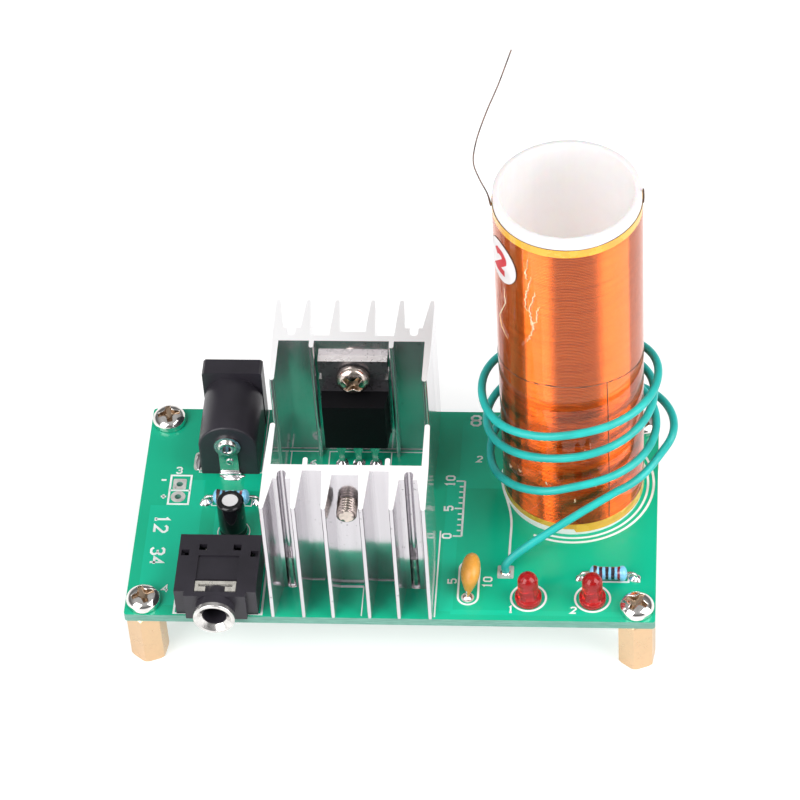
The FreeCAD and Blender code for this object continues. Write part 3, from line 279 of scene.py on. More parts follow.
# A surface material. Constants are set on the shader's own sockets; what varies is linked with give().
class Finish:
    def __init__(self, name, constants):
        self.material = bpy.data.materials.new(name)
        self.material.use_nodes = True
        self.tree = self.material.node_tree
        self.shader = self.tree.nodes["Principled BSDF"]
        for socket, value in constants.items():
            self.shader.inputs[socket].default_value = value

    def feed(self, socket, value):
        if isinstance(value, Signal):
            self.tree.links.new(value.socket, socket)
        else:
            socket.default_value = value

    def node(self, kind, settings=None, inputs=None, output=0):
        made = self.tree.nodes.new("ShaderNode" + kind)
        for key, value in (settings or {}).items():
            if key == "stops":
                while len(made.color_ramp.elements) > 1:
                    made.color_ramp.elements.remove(made.color_ramp.elements[-1])
                made.color_ramp.elements[0].position = value[0][0]
                made.color_ramp.elements[0].color = value[0][1]
                for position, tone in value[1:]:
                    made.color_ramp.elements.new(position).color = tone
            else:
                setattr(made, key, value)
        for key, value in (inputs or {}).items():
            self.feed(made.inputs[key], value)
        return Signal(self, made.outputs[output])

    def give(self, socket, value):
        self.feed(self.shader.inputs[socket], value)

    def place(self):
        return self.node("TexCoord", output="Object")

    def parts(self, vector):
        return [self.node("SeparateXYZ", inputs={"Vector": vector}, output=axis) for axis in "XYZ"]

    def scaled(self, vector, scale):
        return self.node("VectorMath", {"operation": "MULTIPLY"}, {0: vector, 1: scale})

    def noise(self, vector, scale, detail=3.0, roughness=0.55):
        inputs = {"Vector": vector, "Scale": scale, "Detail": detail, "Roughness": roughness}
        return self.node("TexNoise", inputs=inputs, output="Fac")

    def blend(self, mask, first, second):
        inputs = {"Factor": mask, 6: first, 7: second}
        return self.node("Mix", {"data_type": "RGBA"}, inputs, output=2)

    def ramp(self, value, stops):
        return self.node("ValToRGB", {"stops": stops}, {"Fac": value})

    def fromTo(self, value, low, high, newLow=0.0, newHigh=1.0):
        inputs = {"Value": value, "From Min": low, "From Max": high, "To Min": newLow, "To Max": newHigh}
        return self.node("MapRange", inputs=inputs)

    # A noise's middle range, drawn out from low to high.
    def spread(self, value, low, high):
        return self.fromTo(value, 0.3, 0.7, low, high)

    def bump(self, height, strength, distance):
        inputs = {"Height": height, "Strength": strength, "Distance": distance}
        self.give("Normal", self.node("Bump", inputs=inputs))


def colour(red, green, blue):
    return (red, green, blue, 1.0)


def shaded(tone, factor):
    return tuple(min(1.0, value * factor) for value in tone[:3]) + (1.0,)


def dress(thing, finish):
    thing.data.materials.clear()
    thing.data.materials.append(finish.material)


# CAD nodes keep their mesh and get a finish.
def dressNodes(finish, *names):
    for name in names:
        dress(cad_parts[name], finish)


# A new piece: finished, riding on a body, and standing for nodes, which it hides.
def settle(thing, finish, standsFor=(), body="board"):
    dress(thing, finish)
    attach(thing, body)
    if standsFor:
        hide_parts(*standsFor)
    return thing


print("frame loaded, helpers ready")

# Finishes

metals = {
    "chrome": {"colour": colour(0.86, 0.83, 0.80), "roughness": 0.11, "grain": 0.02},
    # A darker brown metal: the painted shade inside the screws' cross recesses.
    "paintedRecessShade": {"colour": colour(0.42, 0.31, 0.22), "roughness": 0.30, "grain": 0.04},
    "padTin": {"colour": colour(0.76, 0.75, 0.72), "roughness": 0.35, "grain": 0.05, "metallic": 0.45},
    "clipTin": {"colour": colour(0.80, 0.77, 0.70), "roughness": 0.28, "grain": 0.02, "metallic": 0.6},
    "tinned": {"colour": colour(0.70, 0.69, 0.68), "roughness": 0.22, "grain": 0.02},
    "collarSteel": {"colour": colour(0.74, 0.72, 0.70), "roughness": 0.20, "grain": 0.01, "metallic": 0.95},
    "solder": {"colour": colour(0.80, 0.79, 0.80), "roughness": 0.17, "grain": 0.10},
    "darkNickel": {"colour": colour(0.62, 0.54, 0.48), "roughness": 0.18, "grain": 0.06},
    "brass": {"colour": colour(0.735, 0.515, 0.318), "roughness": 0.32, "grain": 0.05,
              "mottle": (0.97, 1.03)},
}

# Scales of the noises on metal, and the depth of its scratches in metres.
metalNoise = {"mottle": 900.0, "scratches": 4200.0, "depth": 0.0001}


# Plain metal: a slight mottle in colour and gloss, and fine scratches as bump.
def metalFinish(name):
    look = metals[name]
    finish = Finish(name, {"Metallic": look.get("metallic", 1.0)})
    place = finish.place()
    mottle = finish.noise(place, metalNoise["mottle"], 4.0)
    tone = look["colour"]
    low, high = look.get("mottle", (0.86, 1.12))
    finish.give("Base Color", finish.ramp(mottle, [(0.35, shaded(tone, low)), (0.65, shaded(tone, high))]))
    finish.give("Roughness", finish.spread(mottle, look["roughness"] * 0.75, look["roughness"] * 1.3))
    scratches = finish.noise(place, metalNoise["scratches"], 3.0)
    finish.bump(scratches, look["grain"], metalNoise["depth"])
    return finish


(chrome, paintedRecessShade, padTin, clipTin, tinned, collarSteel, solder, darkNickel,
 brass) = (metalFinish(name) for name in metals)

# edge is the pale colour of the tab's top faces: a painted highlight on the sheared edge.
tabLook = {"face": colour(0.105, 0.10, 0.11), "edge": colour(0.82, 0.79, 0.77)}


# Tinned tab: dull grey faces; faces that point up or down take a pale colour, a painted highlight along the
# sheared top edge.
def tabFinish():
    finish = Finish("tinnedTab", {"Metallic": 0.6})
    mottle = finish.noise(finish.place(), metalNoise["mottle"], 3.0)
    upward = finish.parts(finish.node("NewGeometry", output="Normal"))[2].absolute() > 0.7
    face = finish.ramp(mottle, [(0.3, shaded(tabLook["face"], 0.85)), (0.7, shaded(tabLook["face"], 1.15))])
    # Painted highlight: faces that point up or down take the bright edge colour.
    finish.give("Base Color", finish.blend(upward, face, tabLook["edge"]))
    finish.give("Roughness", finish.spread(mottle, 0.24, 0.34))
    finish.bump(mottle, 0.004, 0.0001)
    return finish


tinnedTab = tabFinish()

# Colours of faces and sawn ends (the ends near white: partly the rougher cut, partly a painted highlight),
# scales of the draw lines, streaks and specks, and where a speck starts.
aluminiumLook = {"face": colour(0.695, 0.67, 0.70), "cut": colour(0.95, 0.95, 0.955),
                 "lines": (5200.0, 5200.0, 60.0), "streaks": (700.0, 700.0, 25.0), "specks": 1500.0,
                 "speckFrom": 0.735}


# Extruded aluminium: satin faces with draw lines along Z and dark specks; faces that point up or down, the
# sawn ends, are rougher, and are painted near white and less metallic as a painted highlight.
def aluminiumFinish():
    finish = Finish("extrudedAluminium", {"Metallic": 1.0})
    place = finish.place()
    look = aluminiumLook
    lines = finish.noise(finish.scaled(place, look["lines"]), 1.0, 4.0, 0.6)
    broad = finish.noise(finish.scaled(place, look["streaks"]), 1.0, 2.0)
    upward = finish.parts(finish.node("NewGeometry", output="Normal"))[2].absolute()
    sawnTopAndHighlight = upward > 0.7
    face = look["face"]
    satin = finish.ramp(broad, [(0.3, shaded(face, 0.9)), (0.7, face)])
    speckle = finish.noise(place, look["specks"], 1.0) > look["speckFrom"]
    satin = finish.blend(speckle * 0.6, satin, shaded(face, 0.3))
    # Faces that point up or down: a rougher sawn finish, and a near white colour that is a painted highlight.
    finish.give("Base Color", finish.blend(sawnTopAndHighlight, satin, look["cut"]))
    finish.give("Metallic", 0.88 - sawnTopAndHighlight * 0.74)
    smooth = finish.spread(lines, 0.09, 0.15)
    finish.give("Roughness", smooth + sawnTopAndHighlight * 0.35)
    finish.bump(lines, 0.08, 0.00004)
    return finish


aluminium = aluminiumFinish()

plastics = {
    "blackMoulding": {"colour": colour(0.026, 0.023, 0.031), "roughness": 0.36, "grain": 0.12},
    "blackResin": {"colour": colour(0.003, 0.003, 0.004), "roughness": 0.55, "grain": 0.2, "ior": 1.27},
    "blackSleeve": {"colour": colour(0.008, 0.008, 0.010), "roughness": 0.10, "grain": 0.02},
    "rubber": {"colour": colour(0.02, 0.02, 0.02), "roughness": 0.7, "grain": 0.2},
    "turquoise": {"colour": colour(0.016, 0.46, 0.42), "roughness": 0.36, "grain": 0.05},
    "ochre": {"colour": colour(0.70, 0.32, 0.05), "roughness": 0.25, "grain": 0.3},
    "whiteInk": {"colour": colour(0.84, 0.88, 0.86), "roughness": 0.5, "grain": 0.2},
    "redInk": {"colour": colour(0.62, 0.03, 0.04), "roughness": 0.5, "grain": 0.1},
    "paperLabel": {"colour": colour(0.84, 0.80, 0.80), "roughness": 0.45, "grain": 0.1},
}

# Scales of the noises on plastic, and the depth of its grain in metres.
plasticNoise = {"drift": 260.0, "grain": 5200.0, "depth": 0.00006}


# Plain plastic: a slow change of shade, a fine mould grain in gloss and bump.
def plasticFinish(name):
    look = plastics[name]
    finish = Finish(name, {"IOR": look.get("ior", 1.48)})
    place = finish.place()
    drift = finish.noise(place, plasticNoise["drift"], 2.0)
    grain = finish.noise(place, plasticNoise["grain"], 3.0)
    tone = look["colour"]
    finish.give("Base Color", finish.ramp(drift, [(0.3, shaded(tone, 0.88)), (0.7, shaded(tone, 1.15))]))
    finish.give("Roughness", finish.spread(grain, look["roughness"] * 0.85, look["roughness"] * 1.2))
    finish.bump(grain, look["grain"], plasticNoise["depth"])
    return finish


(blackMoulding, blackResin, blackSleeve, rubber, turquoise, ochre, whiteInk, redInk,
 paperLabel) = (plasticFinish(name) for name in plastics)

boardLook = {
    "bare": colour(0.002, 0.43, 0.235),
    "overCopper": colour(0.004, 0.55, 0.335),
    "edge": colour(0.20, 0.44, 0.36),
    "edgeDark": colour(0.12, 0.31, 0.245),
    # Scales of the noises: layers at the edge, drift of the mask's green, and the weave beneath.
    "layers": (420.0, 420.0, 5000.0), "drift": 45.0, "weave": 2600.0,
    # Copper under the mask, each as its middle and half sizes: the long tracks and the two larger pours.
    "copper": [((8.3, -6.0), (1.0, 13.2)), ((31.0, 16.6), (5.4, 3.2)),
               ((-30.4, -2.0), (1.1, 8.0)), ((-33.5, -9.0), (3.6, 9.8)), ((22.0, -19.3), (13.0, 0.45)),
               ((-26.6, -1.6), (0.55, 3.4)), ((-21.0, 6.5), (2.4, 2.6)), ((13.4, 12.0), (4.4, 7.0))],
}


# Solder mask over laminate: paler where copper lies beneath, grey-green with fine layers at the sawn edge.
def boardFinish():
    finish = Finish("solderMask", {"IOR": 1.5})
    place = finish.place()
    x, y = finish.parts(place)[:2]
    upward = finish.parts(finish.node("NewGeometry", output="Normal"))[2].absolute()
    atEdge = upward < 0.5
    copper = None
    for middle, half in boardLook["copper"]:
        inX = (x / mm - middle[0]).absolute() < half[0]
        inY = (y / mm - middle[1]).absolute() < half[1]
        patch = inX * inY
        copper = patch if copper is None else copper.math("MAXIMUM", copper, patch)
    drift = finish.noise(place, boardLook["drift"], 3.0)
    mask = finish.blend(copper * 0.6, boardLook["bare"], boardLook["overCopper"])
    mask = finish.blend(finish.fromTo(drift, 0.35, 0.7, 0.0, 0.4), mask, boardLook["overCopper"])
    layers = finish.noise(finish.scaled(place, boardLook["layers"]), 1.0, 4.0)
    side = finish.ramp(layers, [(0.3, boardLook["edgeDark"]), (0.62, boardLook["edge"])])
    finish.give("Base Color", finish.blend(atEdge, mask, side))
    weave = finish.noise(place, boardLook["weave"], 2.0)
    finish.give("Roughness", finish.spread(weave, 0.17, 0.27) + atEdge * 0.35)
    finish.bump(weave * 0.4 + copper, 0.25, 0.00004)
    return finish


solderMask = boardFinish()

# glow, glowFrom and glowTo set a painted glow: a warm emission on the tube that fades in below its rim.
tubeLook = {"colour": colour(0.83, 0.81, 0.81), "shade": colour(0.79, 0.765, 0.77),
            "paintedGlowTint": colour(1.0, 0.87, 0.80), "glow": 0.19, "glowFrom": 0.0595, "glowTo": 0.045,
            "grain": (1500.0, 1500.0, 90.0)}


# White tube: slightly translucent, and given a warm emission lower down, a painted glow standing in for light
# that comes through the winding onto its inside.
def tubeFinish():
    finish = Finish("whiteTube", {"Subsurface Weight": 0.3, "Subsurface Scale": 0.002, "IOR": 1.5,
                                  "Emission Strength": tubeLook["glow"]})
    place = finish.place()
    height = finish.parts(place)[2]
    drift = finish.noise(place, 160.0, 3.0)
    finish.give("Base Color", finish.ramp(drift, [(0.3, tubeLook["shade"]), (0.7, tubeLook["colour"])]))
    # Painted glow: the warm emission is nought at the rim, full at 45 mm and stays on below that.
    depth = finish.fromTo(height, boardTop + tubeLook["glowFrom"], boardTop + tubeLook["glowTo"])
    finish.give("Emission Color", finish.blend(depth, colour(0, 0, 0), tubeLook["paintedGlowTint"]))
    grain = finish.noise(finish.scaled(place, tubeLook["grain"]), 1.0, 2.0)
    finish.give("Roughness", finish.spread(grain, 0.32, 0.5))
    finish.bump(grain, 0.05, 0.00005)
    return finish


whiteTube = tubeFinish()

tapeLook = {"colour": colour(0.93, 0.50, 0.025), "deep": colour(0.84, 0.40, 0.02)}


def tapeFinish():
    finish = Finish("yellowTape", {"Coat Weight": 0.7, "Coat Roughness": 0.06, "IOR": 1.5})
    place = finish.place()
    drift = finish.noise(place, 300.0, 4.0)
    finish.give("Base Color", finish.ramp(drift, [(0.35, tapeLook["deep"]), (0.55, tapeLook["colour"])]))
    finish.give("Roughness", finish.spread(drift, 0.2, 0.35))
    finish.bump(finish.noise(place, 900.0, 3.0), 0.15, 0.0001)
    return finish


yellowTape = tapeFinish()

lensLook = {"deep": colour(0.80, 0.018, 0.020), "bright": colour(0.94, 0.036, 0.038)}


# Milky red resin: some light passes through, so the posts inside show near the foot.
def lensFinish():
    finish = Finish("redLens", {"Transmission Weight": 0.72, "IOR": 1.45})
    place = finish.place()
    drift = finish.noise(place, 800.0, 3.0)
    finish.give("Base Color", finish.ramp(drift, [(0.3, lensLook["deep"]), (0.7, lensLook["bright"])]))
    finish.give("Roughness", finish.spread(drift, 0.03, 0.07))
    return finish


redLens = lensFinish()

resistorLook = {
    "body": colour(0.22, 0.60, 0.90),
    # Each band: where it starts, its width, both as shares of the body's length, and its paint.
    "bands": [(0.115, 0.095, colour(0.055, 0.014, 0.014)), (0.265, 0.085, colour(0.045, 0.010, 0.022)),
              (0.425, 0.085, colour(0.012, 0.012, 0.020)), (0.575, 0.09, colour(0.012, 0.010, 0.022)),
              (0.735, 0.07, colour(0.20, 0.008, 0.022))],
}


# Lacquered resistor: colour bands at shares of the body's length.
def resistorFinish(name, node):
    finish = Finish(name, {"Coat Weight": 0.8, "Coat Roughness": 0.04, "IOR": 1.5})
    low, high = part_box(node)
    place = finish.place()
    along = (finish.parts(place)[0] - low.x) / (high.x - low.x)
    wobble = (finish.noise(place, 2400.0, 2.0) - 0.5) * 0.03
    paint = resistorLook["body"]
    for start, width, band in resistorLook["bands"]:
        middle = start + width / 2
        inside = (along + wobble - middle).absolute() < width / 2
        paint = finish.blend(inside, paint, band)
    finish.give("Base Color", paint)
    finish.give("Roughness", finish.spread(finish.noise(place, 3000.0), 0.18, 0.3))
    return finish


windingLook = {
    "copper": colour(0.71, 0.146, 0.022), "deep": colour(0.59, 0.096, 0.012),
    "amber": colour(0.70, 0.116, 0.012), "amberDeep": colour(0.42, 0.052, 0.007),
    "amberTop": 27.9, "amberWave": 0.9, "roughness": (0.11, 0.15),
    "streaks": (130.0, 130.0, 4200.0), "patches": (420.0, 420.0, 3200.0),
}


# Enamelled wire: streaks run with the turns. Below its wavy top edge a second wrap is deeper and redder.
def windingFinish(name, metallic):
    look = windingLook
    finish = Finish(name, {"Metallic": metallic})
    place = finish.place()
    height = finish.parts(place)[2]
    streaks = finish.noise(finish.scaled(place, look["streaks"]), 1.0, 3.0, 0.6)
    patches = finish.noise(finish.scaled(place, look["patches"]), 1.0, 4.0, 0.65)
    clear = finish.ramp(streaks, [(0.3, look["deep"]), (0.62, look["copper"])])
    wrapped = finish.ramp(patches, [(0.32, look["amberDeep"]), (0.6, look["amber"])])
    edge = (finish.noise(place, 60.0, 1.0) - 0.5) * (2 * look["amberWave"] * mm)
    below = height + edge < boardTop + look["amberTop"] * mm
    finish.give("Base Color", finish.blend(below, clear, wrapped))
    finish.give("Roughness", finish.spread(patches, *look["roughness"]))
    return finish


enamelledCopper = windingFinish("enamelledCopper", 1.0)

wireLook = {"light": colour(0.22, 0.13, 0.10), "dark": colour(0.07, 0.045, 0.04)}


# Bare end of the fine wire: dull brown with dark spots.
def fineWireFinish():
    finish = Finish("fineWire", {"Metallic": 0.5})
    place = finish.place()
    spots = finish.noise(place, 500.0, 3.0)
    finish.give("Base Color", finish.ramp(spots, [(0.35, wireLook["dark"]), (0.6, wireLook["light"])]))
    finish.give("Roughness", finish.spread(spots, 0.35, 0.5))
    return finish


fineWire = fineWireFinish()

filmLook = {"tint": colour(1.0, 0.93, 0.92), "ior": 1.40, "roughness": (0.02, 0.07),
            "ripple": (240.0, 240.0, 55.0)}


# Clear film over the winding: it shows only by what it mirrors, more at grazing angles. So it is a mirror
# whose alpha is the Fresnel share on its outer face and nought on its inner one.
def filmFinish():
    finish = Finish("clearFilm", {"Metallic": 1.0, "Base Color": filmLook["tint"]})
    place = finish.place()
    ripple = finish.noise(finish.scaled(place, filmLook["ripple"]), 1.0, 2.0)
    share = finish.node("Fresnel", inputs={"IOR": filmLook["ior"]})
    finish.give("Alpha", share * (1.0 - finish.node("NewGeometry", output="Backfacing")))
    finish.give("Roughness", finish.spread(ripple, *filmLook["roughness"]))
    finish.bump(ripple, 0.06, 0.0004)
    return finish


clearFilm = filmFinish()
creaseHighlightTones = [(0.35, colour(0.95, 0.58, 0.28)), (0.55, colour(1.0, 0.90, 0.66))]


# Painted highlight: the raised creases are coloured cream with pale orange spots, as if they catch the light.
def filmCreaseFinish():
    finish = Finish("filmCrease", {"Metallic": 0.0})
    spots = finish.noise(finish.place(), 700.0, 3.0)
    finish.give("Base Color", finish.ramp(spots, creaseHighlightTones))
    finish.give("Roughness", finish.spread(spots, 0.1, 0.3))
    return finish


paintedCreaseHighlight = filmCreaseFinish()

print("finishes ready")

# Nodes that keep their CAD mesh

dressNodes(solderMask, "circuit_board")
dressNodes(brass, "board_posts")
dressNodes(chrome, "power_jack_pin")
dressNodes(solder, "solder_joints")
dressNodes(blackMoulding, "power_jack_housing", "audio_jack_housing")
dressNodes(clipTin, "audio_jack_ground_clip", "audio_jack_tip_spring", "audio_jack_ring_spring",
           "audio_jack_terminals")
dressNodes(tinned, "power_jack_rear_terminal", "power_jack_sleeve_terminal", "power_jack_sleeve_spring",
           "heat_sink_pins", "transistor_leads",
           "resistor_leads", "electrolytic_leads", "drop_capacitor_leads", "indicator_leads",
           "primary_bare_ends")
dressNodes(aluminium, "front_heat_sink", "rear_heat_sink")
dressNodes(tinnedTab, "front_transistor_tab", "rear_transistor_tab")
dressNodes(blackResin, "front_transistor_body", "rear_transistor_body")
dressNodes(rubber, "electrolytic_bung")
dressNodes(enamelledCopper, "secondary_foot_wire")

# White ink on the board

# The ink's thickness, and the width of each kind of line.
inkLook = {"thickness": 0.035, "line": 0.30, "fine": 0.15, "bold": 0.36, "small": 0.24, "tick": 0.26,
           "figure": 0.28, "ring": 0.36, "track": 0.34, "bar": 0.42, "fin": 0.2, "edge": 0.22}

# Plain figures, each as its strokes on a grid four units wide and six high.
digits = {
    "0": [[(0, 1), (0, 5), (1, 6), (3, 6), (4, 5), (4, 1), (3, 0), (1, 0), (0, 1)]],
    "1": [[(1, 5), (2, 6), (2, 0)], [(1, 0), (3, 0)]],
    "2": [[(0, 5), (1, 6), (3, 6), (4, 5), (4, 4), (0, 0), (4, 0)]],
    "3": [[(0, 5), (1, 6), (3, 6), (4, 5), (4, 4), (3, 3), (4, 2), (4, 1), (3, 0), (1, 0), (0, 1)],
          [(1.4, 3), (3, 3)]],
    "4": [[(3, 0), (3, 6), (0, 2), (4, 2)]],
    "5": [[(4, 6), (0, 6), (0, 3.4), (3, 3.6), (4, 2.6), (4, 1), (3, 0), (1, 0), (0, 1)]],
    "6": [[(3.6, 6), (1.6, 5), (0, 2.4), (0, 1), (1, 0), (3, 0), (4, 1), (4, 2), (3, 3.2), (1, 3.2),
           (0, 2)]],
    "8": [[(1, 3.2), (0, 4.2), (0, 5), (1, 6), (3, 6), (4, 5), (4, 4.2), (3, 3.2), (4, 2.2), (4, 1), (3, 0),
           (1, 0), (0, 1), (0, 2.2), (1, 3.2), (3, 3.2)]],
}


# The strokes of a number whose lower left corner is the foot, turned about it by an angle in degrees.
def digitStrokes(text, foot, height, turn=0.0):
    unit = height / 6
    c, s = math.cos(math.radians(turn)), math.sin(math.radians(turn))
    strokes = []
    for index, character in enumerate(text):
        for line in digits[character]:
            points = (np.array(line, float) + (index * 6.0, 0)) * unit
            strokes.append(np.column_stack([foot[0] + c * points[:, 0] - s * points[:, 1],
                                            foot[1] + s * points[:, 0] + c * points[:, 1]]))
    return strokes


# Points at even steps along straight runs, so that a line can bend with what it lies on.
def closeSet(path, step):
    gone = np.concatenate([[0], np.cumsum(np.linalg.norm(np.diff(path, axis=0), axis=1))])
    stops = np.linspace(0, gone[-1], max(2, int(gone[-1] / step)))
    return np.column_stack([np.interp(stops, gone, path[:, axis]) for axis in range(path.shape[1])])


def arcPath(centre, radius, start=0.0, end=360.0, steps=64):
    angle = np.radians(np.linspace(start, end, steps))
    return np.column_stack([centre[0] + radius * np.cos(angle), centre[1] + radius * np.sin(angle)])


def boxPath(x0, y0, x1, y1):
    return [(x0, y0), (x1, y0), (x1, y1), (x0, y1), (x0, y0)]


# A long hole's outline along Y: two straight sides joined by half circles.
def slotPath(x, y0, y1, half):
    return np.vstack([arcPath((x, y1 - half), half, 0, 180, 24),
                      arcPath((x, y0 + half), half, 180, 360, 24), [(x + half, y1 - half)]])


coilFoot = middleOf("secondary_former") * (1, 1, 0)
lampPlaces = [middleOf("left_indicator_lens")[:2], middleOf("right_indicator_lens")[:2]]
dropPlace = middleOf("drop_capacitor_leads")[:2]
electrolyticPlace = middleOf("electrolytic_sleeve")[:2]
supplyPads = {"square": (-33.15, 5.085), "round": (-33.15, 2.545)}

frontSink = {"fins": (-16.62, -12.33, -7.76, -2.84, 1.45), "foot": -13.5, "front": -20.35, "middle": -14.72}
scaleLook = {"x": 9.9, "low": -4.6, "step": 1.1, "ticks": 11, "short": 0.75, "long": 1.3, "figure": 1.2}


def boardInk():
    line, fine, bold = inkLook["line"], inkLook["fine"], inkLook["bold"]
    strokes = [(arcPath(place, 2.55), line) for place in lampPlaces]
    strokes += [
        (boxPath(28.75, -13.1, 34.75, -11.8), line), (boxPath(-27.9, 0.85, -21.9, 2.35), fine),
        (slotPath(dropPlace[0] + 0.03, -17.86, -9.5, 1.47), line), (arcPath(electrolyticPlace, 2.4), fine),
        (boxPath(-34.55, 1.05, -31.5, 6.85), line), ([(-34.55, 3.82), (-31.5, 3.82)], line),
        ([(-36.0, 5.9), (-35.25, 5.9)], line), ([(-35.75, 2.55), (-34.95, 2.55)], line),
        ([(-35.35, 2.15), (-35.35, 2.95)], line), (boxPath(-31.42, -20.35, -18.5, -9.2), line),
        (boxPath(-30.4, 7.6, -20.9, 20.5), fine),
        (arcPath(coilFoot, 11.95, -118, 58), inkLook["ring"]),
        (arcPath(coilFoot, 11.1, -112, 62), inkLook["track"]),
        (smoothPath([(17.12, -10.2), (17.17, -5.8), (17.17, -1.4), (16.75, 1.25), (16.3, 3.0),
                     (15.73, 5.08), (15.4, 7.6), (15.9, 10.6)], 8), inkLook["track"]),
        ([(-7.76, frontSink["middle"]), (-3.9, frontSink["middle"])], inkLook["bar"]),
        ([(-12.33, frontSink["foot"]), (-9.7, frontSink["foot"])], fine),
        ([(-2.84, frontSink["foot"]), (0.85, frontSink["foot"])], fine),
        ([(-3.9, frontSink["middle"]), (-3.9, frontSink["front"])], fine),
        ([(-17.0, 12.15), (-11.9, 12.15)], fine), ([(-1.5, 12.15), (4.9, 12.15)], fine),
        ([(-16.7, 12.15), (-16.7, 9.3)], fine), ([(-10.9, 12.15), (-1.5, 12.15), (-1.5, 8.2), (-10.9, 8.2),
                                                  (-10.9, 12.15)], fine),
    ]
    for x in frontSink["fins"]:
        strokes.append(([(x, frontSink["foot"]), (x, frontSink["front"])], inkLook["fin"]))
    strokes.append(([(6.75, -3.6), (6.75, frontSink["front"])], inkLook["edge"]))
    labels = [("1", (17.4, -19.2), 1.1, 0), ("2", (26.5, -19.2), 1.1, 0), ("3", (-33.9, 7.3), 1.2, 0),
              ("4", (-33.6, -16.3), 1.3, 0), ("5", (9.55, -13.8), 1.15, 90),
              ("10", (14.75, -14.5), 1.15, 90), ("6", (-13.7, 9.0), 1.35, 0), ("2", (11.5, 10.4), 1.1, 0),
              ("8", (10.3, 17.9), 2.0, 0), ("1", (-19.4, -4.6), 1.15, 0), ("12", (-34.1, -1.4), 1.9, -90),
              ("34", (-34.1, -7.7), 1.9, -90)]
    for text, foot, height, turn in labels:
        width = bold if height > 1.5 else inkLook["small"]
        foot = (foot[0] - height, foot[1]) if turn == -90 else foot
        strokes += [(path, width) for path in digitStrokes(text, foot, height, turn)]
    look = scaleLook
    high = look["low"] + look["step"] * (look["ticks"] - 1)
    strokes.append(([(look["x"], look["low"]), (look["x"], high)], line))
    for tick in range(look["ticks"]):
        y = look["low"] + look["step"] * tick
        reach = look["long"] if tick % 5 == 0 else look["short"]
        strokes.append(([(look["x"], y), (look["x"] - reach, y)], inkLook["tick"]))
        if tick % 5 == 0:
            foot = (look["x"] - reach - 0.3, y - look["figure"] * (0.33 if tick < 10 else 0.83))
            figures = digitStrokes(str(tick), foot, look["figure"], 90)
            strokes += [(path, inkLook["figure"]) for path in figures]
    grids = [strokeGrid(path, width, sunk, inkLook["thickness"]) for path, width in strokes]
    return piece("boardInk", grids, smooth=False)


settle(boardInk(), whiteInk)

# Pads and solder on the board's top face

padLook = {"thickness": 0.045, "hole": 0.5, "middle": 0.01}
leadPitch = 2.54
transistorLeads = [(x + step * leadPitch, y) for x, y in ((-5.3, -9.65), (-6.29, 9.9)) for step in (-1, 0, 1)]
sinkPins = [(-14.4, -14.05), (3.8, -14.05), (-15.38, 14.3), (2.82, 14.3)]
dropLeads = [(dropPlace[0], dropPlace[1] - leadPitch), (dropPlace[0], dropPlace[1] + leadPitch)]
# Pads without a hole, each as its centre, its half sizes and the power of its outline.
solidPads = [((16.74, -11.52), 1.2, 1.24, 12), ((15.5, 18.5), 1.15, 1.15, 12), ((-30.55, 9.8), 0.85, 1.85, 4)]
solidPads += [(place, 0.95, 0.95, 2) for place in dropLeads]


def boardPads():
    top, hole, middle = padLook["thickness"], padLook["hole"], padLook["middle"]
    square, circle = supplyPads["square"], supplyPads["round"]
    plates = [plateGrid(superEllipse(square, 1.0, 1.05, 12), superEllipse(square, hole, hole), sunk, top),
              plateGrid(superEllipse(circle, 1.12, 1.12), superEllipse(circle, hole, hole), sunk, top)]
    for centre, halfX, halfY, power in solidPads:
        inner = superEllipse(centre, middle, middle)
        plates.append(plateGrid(superEllipse(centre, halfX, halfY, power), inner, sunk, top))
    return piece("boardPads", plates, sharpAt=40)


settle(boardPads(), padTin)


# Solder mounds, each as its centre, half sizes, height, power, lumps and, on a pad, the height it starts at.
solderMounds = [
    ((-28.85, 1.5), 0.95, 0.9, 0.75, 0.6, 0.09), ((-21.1, 1.6), 0.75, 0.85, 0.7, 0.6, 0.09),
    ((27.75, -12.48), 0.85, 0.75, 0.7, 0.6, 0.09), ((35.75, -12.4), 0.95, 0.85, 0.75, 0.6, 0.1),
    ((16.75, -11.5), 0.8, 0.75, 0.55, 0.9, 0.08, 0.03), ((15.5, 18.5), 0.8, 0.8, 0.6, 0.9, 0.08, 0.03),
    ((-25.3, 6.75), 1.85, 0.75, 0.55, 0.7, 0.1), ((-30.55, 9.8), 0.7, 1.65, 0.4, 0.5, 0.08, 0.03),
]
solderMounds += [(place, 0.75, 0.75, 0.55, 1.5, 0.05, 0.03) for place in dropLeads]
solderMounds += [((20.15, 16.9), 0.6, 0.6, 0.4, 1.2, 0.08)]
solderMounds += [(place, 0.95, 0.95, 1.1, 1.8, 0.05) for place in transistorLeads]
solderMounds += [(place, 1.0, 1.0, 0.9, 1.8, 0.05) for place in sinkPins]


def solderFillets():
    return piece("topSolder", [moundGrid(*mound) for mound in solderMounds])


settle(solderFillets(), solder)
print("board dressed")

# Screws

screwLook = {"radius": 2.52, "top": 1.9, "rim": 0.62, "crown": 2.6, "shank": 1.42, "boardShank": 6.3,
             "arm": 1.72, "armHalf": 0.56, "armTip": 0.40, "pocket": 0.92, "depth": 1.2, "wall": 0.13,
             "floorSlope": 0.55, "rings": 76, "columns": 145, "shadeReach": 0.1, "shadeUnder": 0.12,
             "shadeOver": 0.3}


# Points at a reach, an angle and a height about the axis through the foot.
def aboutAxis(foot, axis, reach, angle, height):
    first, second = squareTo(axis)
    return placed(np.asarray(foot, float) + (reach * np.cos(angle))[..., None] * first
                  + (reach * np.sin(angle))[..., None] * second + height[..., None] * np.asarray(axis, float))


# Height of a screw's crown over its seat: top where the reach is nought, falling to the rim as a
# flattened circle.
def crownHeight(reach):
    look = screwLook
    share = np.clip(reach / look["radius"], 0, 1)
    return look["rim"] + (look["top"] - look["rim"]) * np.sqrt(1 - share ** look["crown"] + 1e-9)


